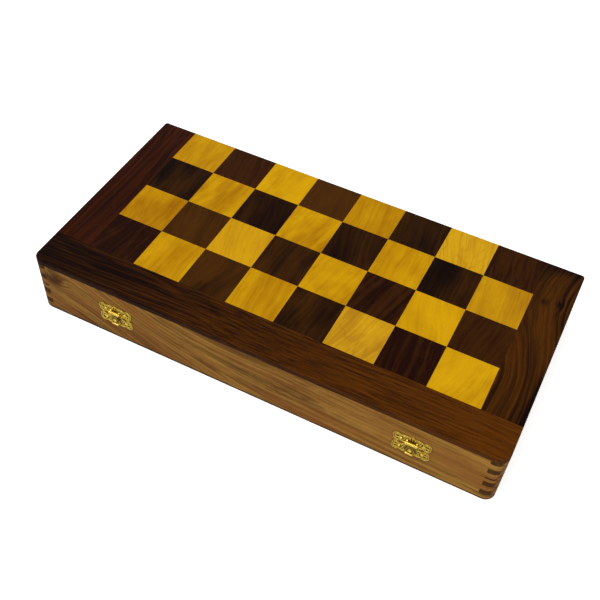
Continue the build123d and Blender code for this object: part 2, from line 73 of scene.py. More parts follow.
Colour = tuple[float, float, float]
Shown = tuple[int, int, int]
Grid = np.ndarray
DepthRule = Callable[[Grid, Grid], Grid]
FaceRule = Callable[[Grid, Grid, Grid], Grid]
log = logging.getLogger("chess_set")


class Half(Enum):
    """The two halves of the box, each with its body, its men, its clasp plate and the way into it."""

    TRAY = ("tray", "black", "ebonised_wood", "lower", -1)
    LID = ("lid", "white", "boxwood", "upper", 1)

    def __init__(self, body: str, men: str, men_wood: str, plate: str, away: int) -> None:
        """Hold what goes with a half.

        Args:
            body: Its body, which also begins the names of its nodes.
            men: The side whose men lie in it.
            men_wood: The finish and slot of those men.
            plate: Which of a clasp's plates it carries.
            away: The way from the parting line into it, 1 for up.
        """
        self.body = body
        self.men = men
        self.men_wood = men_wood
        self.plate = plate
        self.away = away


class Side(Enum):
    """The two ends of the box, seen from the front."""

    LEFT = "left"
    RIGHT = "right"


class Grain(Enum):
    """Direction that the grain of a wooden piece runs, as the order in which its axes are read."""

    ALONG_X = ("X", "Y", "Z")
    ALONG_Y = ("Y", "X", "Z")


class Man(Enum):
    """The kinds of men, with the ending of their node's name."""

    KING = "king"
    QUEEN = "queen"
    BISHOP = "bishops"
    KNIGHT = "knights"
    ROOK = "rooks"
    PAWN = "pawns"


def display_colour(shown: Shown) -> Colour:
    """Turn a colour in display steps of 0 to 255 into the linear one that shaders take, by the sRGB curve."""
    knee, slope, offset, power = 0.04045 * 255, 12.92 * 255, 0.055 * 255, 2.4
    return tuple(s / slope if s <= knee else ((s + offset) / (255 + offset)) ** power for s in shown)


def in_mm(node: str) -> tuple[Point, Point]:
    """Give a node's lowest and highest corners in millimetres."""
    return tuple(tuple(value / MM for value in corner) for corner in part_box(node))


class Box:
    """Sizes that the looks take from the frame."""

    @staticmethod
    def square() -> float:
        """Give the side of a square, in metres."""
        low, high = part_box("lid_light_squares")
        return (high.x - low.x) / 8

    @staticmethod
    def grid_back() -> float:
        """Give the Y of the grid line behind the hinge row in metres, as if that row were whole."""
        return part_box("lid_light_squares")[0].y + 4 * Box.square()

    @staticmethod
    def rim(half: Half) -> float:
        """Give the height of a half's rim in millimetres."""
        return in_mm(f"{half.body}_front_wall")[1 if half is Half.TRAY else 0][2]

    @staticmethod
    def parting() -> float:
        """Give the height of the line where the halves meet, in millimetres."""
        return (Box.rim(Half.TRAY) + Box.rim(Half.LID)) / 2


@dataclass(eq=False)
class Signal:
    """A socket's value in a node tree. Operators and methods on it add Math nodes."""

    graph: "Graph"
    socket: bpy.types.NodeSocket | None

    def math(self, operation: str, *others: "Signal | Number", first: bool = True) -> "Signal":
        """Add a Math node on this value and others, with this value in its first or its last input."""
        values = (self, *others) if first else (*others, self)
        return self.graph.node("ShaderNodeMath", {"operation": operation}, dict(enumerate(values)))

    __add__ = __radd__ = partialmethod(math, "ADD")
    __sub__ = partialmethod(math, "SUBTRACT")
    __rsub__ = partialmethod(math, "SUBTRACT", first=False)
    __mul__ = __rmul__ = partialmethod(math, "MULTIPLY")
    __truediv__ = partialmethod(math, "DIVIDE")
    __pow__ = partialmethod(math, "POWER")
    __neg__ = partialmethod(math, "MULTIPLY", -1)
    __abs__ = partialmethod(math, "ABSOLUTE")
    __gt__ = partialmethod(math, "GREATER_THAN")
    floor = partialmethod(math, "FLOOR")
    fraction = partialmethod(math, "FRACT")
    root = partialmethod(math, "SQRT")
    larger = partialmethod(math, "MAXIMUM")
    smaller = partialmethod(math, "MINIMUM")

    def ramp(self, low: Number, high: Number, to_low: Number = 0, to_high: Number = 1) -> "Signal":
        """Rise smoothly from one result to another between two values, and stay level outside them."""
        ends = {"Value": self, "From Min": low, "From Max": high, "To Min": to_low, "To Max": to_high}
        return self.graph.node("ShaderNodeMapRange", {"interpolation_type": "SMOOTHSTEP"}, ends)


@dataclass
class Graph:
    """A node tree in which a finish or a repeated form is wired, with the finish's shader."""

    tree: bpy.types.NodeTree
    shader: Signal | None = None

    @classmethod
    def blank(cls, owner: bpy.types.Material | bpy.types.World) -> "Graph":
        """Start the node tree of a material or a world afresh.

        Args:
            owner: The material or the world.

        Returns:
            Its graph, without nodes.
        """
        owner.use_nodes = True
        owner.node_tree.nodes.clear()
        return cls(owner.node_tree)

    def node(
        self,
        kind: str,
        settings: dict[str, object] | None = None,
        inputs: dict[str | int, object] | None = None,
        output: str | int = 0,
    ) -> Signal:
        """Add a node of any type.

        Args:
            kind: The node's type.
            settings: Its properties, such as an operation, which are set first.
            inputs: Values or links of its sockets, by name or number. A list links several to one socket.
            output: The output that is wanted, by name or number.

        Returns:
            That output, from which `also` reads the others.
        """
        made = self.tree.nodes.new(kind)
        for name, value in (settings or {}).items():
            setattr(made, name, value)
        for name, value in (inputs or {}).items():
            for single in value if isinstance(value, list) else [value]:
                self.feed(made.inputs[name], single)
        return Signal(self, made.outputs[output] if made.outputs else None)

    def also(self, signal: Signal, output: str | int) -> Signal:
        """Read another output of the node that a signal comes from."""
        return Signal(self, signal.socket.node.outputs[output])

    def feed(self, socket: bpy.types.NodeSocket, value: object) -> None:
        """Link a signal to a socket, or set the socket's own value.

        Args:
            socket: The socket.
            value: A signal, a number, a vector, a name, or a colour without its alpha.
        """
        if isinstance(value, Signal):
            self.tree.links.new(value.socket, socket)
        elif isinstance(value, tuple) and len(value) == 3 and len(getattr(socket, "default_value", ())) == 4:
            socket.default_value = (*value, 1)
        else:
            socket.default_value = value

    def coat(self, **values: object) -> None:
        """Feed the finish's shader by the names of its sockets, with an underscore for each space."""
        for name, value in values.items():
            self.feed(self.shader.socket.node.inputs[name.replace("_", " ")], value)

    def vector(self, x: Signal | Number, y: Signal | Number, z: Signal | Number) -> Signal:
        """Join three numbers into a vector."""
        return self.node("ShaderNodeCombineXYZ", inputs={"X": x, "Y": y, "Z": z})

    def parts(self, vector: Signal) -> tuple[Signal, Signal, Signal]:
        """Split a vector into its three numbers."""
        x = self.node("ShaderNodeSeparateXYZ", inputs={0: vector})
        return x, self.also(x, 1), self.also(x, 2)

    def noise(self, vector: Signal, detail: Number = 2, roughness: Number = 0.5, scale: Number = 1) -> Signal:
        """Read soft noise from 0 to 1 at a place."""
        inputs = {"Vector": vector, "Scale": scale, "Detail": detail, "Roughness": roughness}
        return self.node("ShaderNodeTexNoise", inputs=inputs)

    def blend(self, share: Signal | Number, first: object, second: object) -> Signal:
        """Mix two colours by the share of the second."""
        return self.node("ShaderNodeMix", {"data_type": "RGBA"}, {0: share, 6: first, 7: second}, 2)


@dataclass(frozen=True)
class Surface:
    """What every finish has: its name, its sheen and how its shader is fed."""

    name: str
    roughness: float = 0.45
    specular: float = 0.3

    def material(self) -> bpy.types.Material:
        """Wire the finish.

        Returns:
            The finished material.
        """
        material = bpy.data.materials.new(self.name)
        graph = Graph.blank(material)
        inputs = {"Specular IOR Level": self.specular, "Roughness": self.roughness}
        graph.shader = graph.node("ShaderNodeBsdfPrincipled", inputs=inputs)
        graph.node("ShaderNodeOutputMaterial", inputs={"Surface": graph.shader})
        self.wire(graph)
        return material

    def wire(self, graph: Graph) -> None:
        """Feed the shader of the material's graph."""
        raise NotImplementedError

    @staticmethod
    def bump(graph: Graph, height: Signal, depth: float) -> Signal:
        """Raise a surface by a height map of the given depth in metres."""
        return graph.node("ShaderNodeBump", inputs={"Strength": 1.0, "Distance": depth, "Height": height})


@dataclass(frozen=True)
class Knot:
    """A place that the grain bends round, with how far it shifts, lifts and shades the grain at its heart.

    The stretch tells how much each axis counts in the distance from it.
    """

    place: Point
    stretch: Point
    reach: float
    shift: float = 0.0
    lift: float = 0.0
    shade: float = 0.0

    def near(self, axes: dict[str, Signal]) -> Signal:
        """Measure how near a place is.

        Args:
            axes: The place, by axis.

        Returns:
            A value from 0 at the knot's reach to 1 at its heart.
        """
        total: Signal | Number = 0.0
        for name, middle, stretch in zip("XYZ", self.place, self.stretch):
            if stretch:
                away = (axes[name] - middle) * stretch
                total = away * away + total
        return total.root().ramp(0.0, self.reach, 1, 0)


@dataclass
class Spot:
    """Where a point of a wooden piece lies in the log that it was cut from.

    Bowed and heart are its places across and in depth once the grain wanders. Where the piece is made
    of squares, chance holds its square's three random numbers, and seam its nearness to the edge.
    """

    axes: dict[str, Signal]
    along: Signal
    across: Signal
    depth: Signal
    shade: Signal | Number
    bowed: Signal | None = None
    heart: Signal | None = None
    chance: tuple[Signal, Signal, Signal] | None = None
    seam: Signal | None = None

    def straight(self, pitch: Pair, *quality: Number, shift: Number = 0) -> Signal:
        """Read noise that runs straight along the log.

        Args:
            pitch: Its steps to the metre along the grain and across it.
            quality: Its detail and roughness.
            shift: Added to the depth.

        Returns:
            The noise.
        """
        (slow, fast), graph = pitch, self.along.graph
        place = graph.vector(self.along * slow, self.across * fast, self.depth * fast + shift)
        return graph.noise(place, *quality)

    def bent(self, pitch: Pair, *quality: Number) -> Signal:
        """Read noise that follows the wandering grain, with the same pitch and quality."""
        (slow, fast), graph = pitch, self.along.graph
        return graph.noise(graph.vector(self.along * slow, self.bowed * fast, self.heart * fast), *quality)


@dataclass(frozen=True, kw_only=True)
class Wood(Surface):
    """A satin wood with growth rings, fine lines, fibres, pores and end grain.

    Colours are in display steps, rings and lines are to the metre, and lengths are in metres. A pitch
    is steps to the metre along the grain and across it. The base shade is the share of the deep colour
    that is there everywhere. Squares differ in shade, tint, figure (dark contours) and curl (ripples).
    On other pieces the tint lies in patches. The drift makes the wood paler towards +X; on the front rail it
    is a painted sheen, lighter to the right.
    """

    grain: Grain
    pale: Shown
    deep: Shown
    pore: Shown
    base_shade: float = 0.3
    rings: float = 220.0
    ring_contrast: float = 0.4
    bow: float = 0.012
    log_depth: float = 0.09
    log_tilt: float = 0.25
    lines: float = 420.0
    line_contrast: float = 0.4
    fibre_contrast: float = 0.3
    pore_share: float = 0.35
    mottle: float = 0.3
    figure: float = 0.0
    curl: float = 0.0
    drift: float = 0.0
    cell: float = 0.0
    cell_contrast: float = 0.0
    seam: float = 0.0002
    tint: Shown | None = None
    tint_share: float = 0.55
    knots: tuple[Knot, ...] = ()
    end_darkness: float = 0.35
    seed: float = 0.0
    broad_pitch: Pair = (3.5, 9.0)
    wave_pitch: Pair = (14.0, 30.0)
    cloud_pitch: Pair = (14.0, 34.0)
    hill_pitch: Pair = (15.0, 34.0)
    ripple_pitch: Pair = (34.0, 62.0)
    blush_pitch: Pair = (7.0, 70.0)
    fibre_pitch: Pair = (26.0, 1300.0)
    pore_pitch: Pair = (130.0, 2100.0)
    speck_pitch: Pair = (90.0, 1900.0)
    width_pitch: Pair = (2.0, 90.0)
    line_run: float = 2.6
    grain_depth: float = 0.00012

    def wire(self, graph: Graph) -> None:
        """Wire the wood from the place on the piece.

        Args:
            graph: The material's graph.
        """
        pale, deep, pore = (display_colour(shown) for shown in (self.pale, self.deep, self.pore))
        here = graph.node("ShaderNodeTexCoord", output="Object")
        spot = self._spot(graph, graph.parts(here))
        fibre = spot.bent(self.fibre_pitch, 2, 0.6)
        pores = spot.bent(self.pore_pitch, 1).ramp(0.60, 0.70) * self.pore_share
        body = graph.blend(self._darkness(graph, spot, fibre).ramp(0.0, 1.0), pale, deep)
        if self.tint:
            blush = spot.chance[2] if spot.chance else spot.bent(self.blush_pitch)
            body = graph.blend(blush.ramp(0.35, 0.7) * self.tint_share, body, display_colour(self.tint))
        body = graph.blend(pores, body, pore)
        facing = dict(zip("XYZ", graph.parts(graph.also(here, "Normal"))))
        cut = abs(facing[self.grain.value[0]]).ramp(0.55, 0.85)
        body = graph.blend(cut * self._end_grain(spot) * self.end_darkness, body, pore)
        height = fibre * 0.35 - pores * 0.8
        if spot.seam is not None:
            body = graph.blend(spot.seam * 0.7, body, pore)
            height = height - spot.seam * 0.6
        polish = self.roughness + (fibre - 0.5) * 0.16 + pores * 0.2 + cut * 0.12
        normal = self.bump(graph, height, self.grain_depth)
        graph.coat(Base_Color=body, Roughness=polish, Normal=normal)

    def _spot(self, graph: Graph, place: tuple[Signal, Signal, Signal]) -> Spot:
        """Find a place in the log, with the grain bowed and bent round the knots.

        Args:
            graph: The material's graph.
            place: The place on the object.

        Returns:
            The place in the log. Each square lies in a log of its own.
        """
        axes = dict(zip("XYZ", place))
        along, across, depth = (axes[name] for name in self.grain.value)
        spot = Spot(axes, along, across, depth, self.base_shade)
        if self.cell:
            square, spot.seam = self._squares(graph, axes)
            spot.chance = first, second, third = graph.parts(square)
            turn = (first - 0.5) * 0.5
            spot.along = along + across * turn + second * 7.0
            spot.across = across - along * turn + (third - 0.5) * 0.11
            spot.depth = depth + first * 3.1
            spot.shade = (second - 0.5) * self.cell_contrast + self.base_shade
        spot.along = spot.along + self.seed
        broad = spot.straight(self.broad_pitch, 3, shift=self.seed)
        wave = spot.straight(self.wave_pitch, 3)
        spot.bowed = spot.across + (broad - 0.5) * self.bow * 4 + (wave - 0.5) * self.bow
        tilt = spot.along * self.log_tilt * 0.12
        spot.heart = spot.depth + tilt + (broad - 0.5) * self.bow * 2 + self.log_depth
        for knot in self.knots:
            near = knot.near(axes)
            spot.bowed = spot.bowed + near * knot.shift
            spot.heart = spot.heart + near * knot.lift
            spot.shade = spot.shade + near * near * near * knot.shade
        return spot

    def _squares(self, graph: Graph, axes: dict[str, Signal]) -> tuple[Signal, Signal]:
        """Tell the squares apart.

        Args:
            graph: The material's graph.
            axes: The place, by axis.

        Returns:
            A chance colour for each square and the mask of its edges.
        """
        column = (axes["X"] + 4 * self.cell) / self.cell
        row = (axes["Y"] - Box.grid_back() + 8 * self.cell) / self.cell
        level = (axes["Z"] * 40.0).floor()
        number = graph.vector(column.floor() + self.seed, row.floor(), level)
        solid = {"noise_dimensions": "3D"}
        chance = graph.node("ShaderNodeTexWhiteNoise", solid, {"Vector": number}, "Color")
        to_edge = [0.5 - abs(step.fraction() - 0.5) for step in (column, row)]
        first, second = (distance.ramp(0.0, self.seam / self.cell, 1, 0) for distance in to_edge)
        return chance, first.larger(second)

    def _darkness(self, graph: Graph, spot: Spot, fibre: Signal) -> Signal:
        """Add up what darkens the wood.

        Args:
            graph: The material's graph.
            spot: The place in the log.
            fibre: The noise of the fibres.

        Returns:
            The share of the deep colour.
        """
        radius = (spot.bowed * spot.bowed + spot.heart * spot.heart).root()
        ring = (radius * self.rings).fraction()
        ring = ring.ramp(0.0, 0.7) * ring.ramp(0.8, 1.0, 1, 0)
        slow, fast = self.width_pitch
        width = graph.noise(graph.vector(spot.along * slow, radius * fast, 0.3))
        line = spot.bent((self.line_run, self.lines), 3, 0.7)
        cloud = spot.straight(self.cloud_pitch, 3)
        lined = self.line_contrast
        if spot.chance:
            lined = (spot.chance[2].ramp(0.45, 0.95) * 0.9 + 0.4) * self.line_contrast
        darkness = (
            ring * width.ramp(0.3, 0.75) * self.ring_contrast
            + (line.ramp(0.36, 0.66) - 0.5) * lined
            + (fibre - 0.5) * self.fibre_contrast
            + (cloud - 0.5) * self.mottle
            + spot.shade
        )
        if spot.chance:
            darkness = darkness + self._figure(spot)
        # Paler towards +X by the drift; on the front rail this is a painted sheen gradient.
        if self.drift:
            darkness = darkness - spot.axes["X"] * self.drift
        return darkness

    def _figure(self, spot: Spot) -> Signal:
        """Draw the contours and ripples of figured squares.

        Args:
            spot: The place in the log.

        Returns:
            What they add to the darkness.
        """
        hill = spot.straight(self.hill_pitch, 2, 0.4)
        step = abs((hill * 9.0).fraction() - 0.5)
        contour = step.ramp(0.01, 0.09, 1, 0) + step.ramp(0.1, 0.5, 1, 0) * 0.2
        ripple = spot.straight(self.ripple_pitch).ramp(0.3, 0.7) - 0.5
        curled, _, figured = spot.chance
        return contour * figured.ramp(0.4, 0.9) * self.figure + ripple * (curled + 0.2) * self.curl

    def _end_grain(self, spot: Spot) -> Signal:
        """Draw the specks and rings of the end grain, as a share of its darkness.

        Args:
            spot: The place in the log.

        Returns:
            How dark the end grain is there.
        """
        speck = spot.straight(self.speck_pitch).ramp(0.35, 0.7)
        radius = (spot.across * spot.across + spot.heart * spot.heart).root()
        return speck * 0.4 + (radius * self.rings * 2.2).fraction() * 0.3 + 0.6


@dataclass(frozen=True)
class Plywood(Surface):
    """A thin plywood panel: a plain face, and plies on its edges."""

    face: Colour = (0.36, 0.24, 0.12)
    line: Colour = (0.20, 0.12, 0.05)
    ply: float = 0.001
    grain_pitch: Pair = (14.0, 420.0)

    def wire(self, graph: Graph) -> None:
        """Wire the plies by height and a faint open grain.

        Args:
            graph: The material's graph.
        """
        x, y, z = graph.parts(graph.node("ShaderNodeTexCoord", output="Object"))
        slow, fast = self.grain_pitch
        plies = ((z / self.ply).fraction() > 0.5) * 0.5
        grain = graph.noise(graph.vector(x * slow, y * fast, z * fast), 3)
        body = graph.blend((grain * 0.6 + plies * 0.5).ramp(0.15, 0.9), self.face, self.line)
        graph.coat(Base_Color=body, Normal=self.bump(graph, grain, 0.0001))


@dataclass(frozen=True)
class Brass(Surface):
    """Yellow brass with a soft polish; on worked pieces painted shade darkens the recesses."""

    bright: Colour = (0.86, 0.60, 0.09)
    dull: Colour = (0.48, 0.30, 0.02)
    # Colour of the painted shade in the recesses of worked pieces.
    recess_shade: Colour = (0.07, 0.04, 0.006)
    worked: bool = False
    clouds: float = 420.0
    scratch_pitch: Pair = (3000.0, 500.0)

    def wire(self, graph: Graph) -> None:
        """Wire the polish, faint scratches and tarnish, and on worked pieces the painted shade in the
        recesses.

        Args:
            graph: The material's graph.
        """
        here = graph.node("ShaderNodeTexCoord", output="Object")
        x, y, z = graph.parts(here)
        fine, coarse = self.scratch_pitch
        cloud = graph.noise(here, 3, scale=self.clouds)
        scratch = graph.noise(graph.vector(x * fine, y * fine, z * coarse))
        tarnish = cloud.ramp(0.42, 0.75) * 0.7
        body = graph.blend(tarnish, self.bright, self.dull)
        rough = self.roughness + tarnish * 0.18 + (scratch - 0.5) * 0.12
        if self.worked:
            # Painted shade: where the polish attribute says the relief is low, the colour goes towards the
            # recess colour, varied by the cloud noise.
            polish = graph.node("ShaderNodeAttribute", {"attribute_name": "polish"}, output="Fac")
            painted_recess_shade = (polish + (cloud - 0.5) * 0.3).ramp(0.1, 0.75, 1, 0)
            body = graph.blend(painted_recess_shade * 0.9, body, self.recess_shade)
            rough = rough + painted_recess_shade * 0.2
        bump = self.bump(graph, scratch * 0.5 + cloud, 0.00003)
        graph.coat(Base_Color=body, Metallic=1.0, Roughness=rough, Normal=bump)


@dataclass(frozen=True)
class Flock(Surface):
    """Short fibres on foam or felt."""

    body: Colour = (0.010, 0.050, 0.022)
    tips: Colour = (0.028, 0.110, 0.048)
    fibres: float = 1400.0
    patches: float = 60.0
    sheen: float = 0.35

    def wire(self, graph: Graph) -> None:
        """Wire a speckled pile with a soft sheen.

        Args:
            graph: The material's graph.
        """
        here = graph.node("ShaderNodeTexCoord", output="Object")
        pile = graph.noise(here, 3, 0.7, self.fibres)
        patch = graph.noise(here, 3, scale=self.patches)
        body = graph.blend((pile * 0.9 + patch * 0.5 - 0.2).ramp(0.15, 0.85), self.body, self.tips)
        normal = self.bump(graph, pile, 0.0004)
        graph.coat(Base_Color=body, Normal=normal, Sheen_Weight=self.sheen)


@dataclass
class Part:
    """A closed shape in millimetres, with each point's share of its relief height, from which the clasp brass
    paints shade into the recesses.
    """

    points: list[Point]
    faces: list[tuple[int, ...]]
    polish: list[float] = field(default_factory=list)


def link(name: str, data: bpy.types.ID) -> bpy.types.Object:
    """Put data in the scene as an object.

    Args:
        name: The object's name.
        data: A mesh, a camera or a light.

    Returns:
        The object.
    """
    made = bpy.data.objects.new(name, data)
    bpy.context.scene.collection.objects.link(made)
    return made


def clean(mesh: bpy.types.Mesh, crease: float, polish: Sequence[float] = ()) -> None:
    """Merge a mesh's doubles, turn its faces outwards and set which edges are sharp.

    Args:
        mesh: The mesh.
        crease: Angle in degrees past which an edge stays sharp.
        polish: Each point's share of the relief height, kept as an attribute from which the clasp brass
            paints shade into the recesses.
    """
    work = bmesh.new()
    work.from_mesh(mesh)
    if polish:
        layer = work.verts.layers.float.new("polish")
        for vertex, share in zip(work.verts, polish):
            vertex[layer] = share
    bmesh.ops.remove_doubles(work, verts=work.verts, dist=0.001 * MM)
    bmesh.ops.recalc_face_normals(work, faces=work.faces)
    for face in work.faces:
        face.smooth = True
    limit = math.radians(crease)
    for edge in work.edges:
        edge.smooth = edge.calc_face_angle(0) < limit
    work.to_mesh(mesh)
    work.free()


@dataclass
class Workpiece:
    """A mesh in the making, put together from closed parts."""

    name: str
    points: list[Vector] = field(default_factory=list)
    faces: list[tuple[int, ...]] = field(default_factory=list)
    polish: list[float] = field(default_factory=list)

    def add(self, parts: Iterable[Part], place: Matrix | None = None) -> None:
        """Put parts in their place.

        Args:
            parts: The parts.
            place: Where they go, in millimetres.
        """
        place = place or Matrix()
        for part in parts:
            start = len(self.points)
            self.points += [place @ Vector(point) for point in part.points]
            self.faces += [tuple(start + index for index in face) for face in part.faces]
            self.polish += part.polish or [1.0] * len(part.points)

    def object(self, material: bpy.types.Material, crease: float = 38.0) -> bpy.types.Object:
        """Make the object.

        Args:
            material: Its finish.
            crease: Angle in degrees past which an edge stays sharp.

        Returns:
            The object, which doesn't ride on anything yet.
        """
        mesh = bpy.data.meshes.new(self.name)
        mesh.from_pydata([point * MM for point in self.points], [], self.faces)
        clean(mesh, crease, self.polish)
        mesh.materials.append(material)
        return link(self.name, mesh)


def place_piece(piece: bpy.types.Object, body: str, slot: str, node: str) -> None:
    """Give a piece its body, and hide the node that it stands for.

    Args:
        piece: The piece.
        body: The body that it rides on.
        slot: The material slot that it takes its finish from; not used.
        node: The node that it replaces.
    """
    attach(piece, body)
    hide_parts(node)
    log.info("%s: %d faces, for %s", piece.name, len(piece.data.polygons), node)


def dress(node: str, material: bpy.types.Material) -> None:
    """Give a node of the frame a better material.

    Args:
        node: The node's name.
        material: Its finish.
    """
    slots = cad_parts[node].data.materials
    if not slots:
        slots.append(material)
    for index in range(len(slots)):
        slots[index] = material
    log.info("dressed %s with %s", node, material.name)


def arc(start: Pair, middle: Pair, end: Pair, count: int = 12) -> list[Pair]:
    """Draw the arc through three points of a profile.

    Args:
        start: Where it starts. This point isn't repeated.
        middle: A point that it goes through.
        end: Where it ends.
        count: Number of points.

    Returns:
        The points after the start.
    """
    a, b, c = (complex(*point) for point in (start, middle, end))
    w = (c - a) / (b - a)
    centre = (b - a) * (w - abs(w) ** 2) / (2j * w.imag) + a
    turns = [np.angle((point - centre) / (a - centre)) % (2 * math.pi) for point in (b, c)]
    sweep = turns[1] if turns[0] < turns[1] else turns[1] - 2 * math.pi
    steps = [centre + (a - centre) * np.exp(1j * sweep * (index + 1) / count) for index in range(count)]
    return [(float(point.real), float(point.imag)) for point in steps]


def turned(
    profile: Sequence[Pair],
    angles: Sequence[float] | int = 48,
    bend: Callable[[float, float, float], Pair] | None = None,
    loop: bool = False,
) -> Part:
    """Turn a profile round Z.

    Args:
        profile: Radii and heights. An open profile starts and ends on the axis.
        angles: Angles of its ribs, or their number.
        bend: Gives the radius and height at an angle instead of the profile's own.
        loop: Whether the profile is a closed loop beside the axis.

    Returns:
        The closed part.
    """
    if isinstance(angles, int):
        angles = [2 * math.pi * index / angles for index in range(angles)]
    rows = list(profile) if loop else list(profile)[1:-1]
    points: list[Point] = []
    for radius, height in rows:
        for angle in angles:
            r, z = bend(angle, radius, height) if bend else (radius, height)
            points.append((r * math.cos(angle), r * math.sin(angle), z))
    count, last = len(angles), len(rows) - 1
    beside = [(rib + 1) % count for rib in range(count)]
    rings = [(row * count, (row + 1) * count) for row in range(last)] + ([(last * count, 0)] if loop else [])
    faces = [(a + rib, a + beside[rib], b + beside[rib], b + rib) for a, b in rings for rib in range(count)]
    if not loop:
        points += [(0, 0, profile[0][1]), (0, 0, profile[-1][1])]
        foot, tip = len(points) - 2, len(points) - 1
        faces += [(beside[rib], rib, foot) for rib in range(count)]
        faces += [(last * count + rib, last * count + beside[rib], tip) for rib in range(count)]
    return Part(points, faces)


def ball(radius: float, height: float) -> Part:
    """Turn a small ball at a height."""
    half_turn = np.linspace(-QUARTER, QUARTER, 13)
    return turned([(radius * math.cos(a), height + radius * math.sin(a)) for a in half_turn], 24)


def roll(radius: float, half: float, rounding: float) -> Part:
    """Turn a short roll with rounded ends.

    Args:
        radius: Its radius.
        half: Half its length.
        rounding: How far from its end the rounding starts.

    Returns:
        The roll, standing on Z round the origin.
    """
    turns = np.linspace(0, QUARTER, 6)[1:]
    ends = [(radius * math.sin(a), half - rounding + rounding * math.cos(a)) for a in turns]
    return turned([(0, half), *ends, *[(r, -z) for r, z in reversed(ends)], (0, -half)], 24)


def prism(outline: Sequence[Pair], low: float, high: float) -> Part:
    """Give an outline in X and Y a thickness along Z.

    Args:
        outline: The outline's corners.
        low: Its lower level.
        high: Its upper level.

    Returns:
        The closed part.
    """
    count = len(outline)
    points = [(x, y, z) for z in (low, high) for x, y in outline]
    faces = [(rib, (rib + 1) % count, count + (rib + 1) % count, count + rib) for rib in range(count)]
    return Part(points, [*faces, tuple(range(count)), tuple(range(count, 2 * count))])


def disc(u: Grid, v: Grid, x: float, y: float, radius: float) -> Grid:
    """Give the depth inside a disc, which is negative outside it."""
    return radius - np.hypot(u - x, v - y)


def panel(u: Grid, v: Grid, y: float, half_x: float, half_y: float) -> Grid:
    """Give the depth inside a rectangle at a middle height, which is negative outside it."""
    x, z = abs(u) - half_x, abs(v - y) - half_y
    return -np.hypot(np.maximum(x, 0), np.maximum(z, 0)) - np.minimum(np.maximum(x, z), 0)


def polygon(u: Grid, v: Grid, corners: Sequence[Pair]) -> Grid:
    """Give the depth inside a polygon.

    Args:
        u: Places across.
        v: Places up.
        corners: The polygon's corners in order.

    Returns:
        The depth, which is negative outside it.
    """
    nearest = np.full(u.shape, 1e9)
    inside = np.zeros(u.shape, bool)
    for (x0, y0), (x1, y1) in zip(corners, [*corners[1:], corners[0]]):
        dx, dy = x1 - x0, y1 - y0
        along = np.clip(((u - x0) * dx + (v - y0) * dy) / (dx * dx + dy * dy + 1e-12), 0, 1)
        nearest = np.minimum(nearest, np.hypot(u - x0 - along * dx, v - y0 - along * dy))
        if dy:
            inside ^= ((y0 > v) != (y1 > v)) & (u < x0 + (v - y0) * dx / dy)
    return np.where(inside, nearest, -nearest)


def swell(value: Grid, centre: float, reach: float) -> Grid:
    """Rise to 1 where a value is at its centre and fall to 0 at its reach."""
    return 0.5 + 0.5 * np.cos(np.clip((value - centre) / reach, -1, 1) * math.pi)


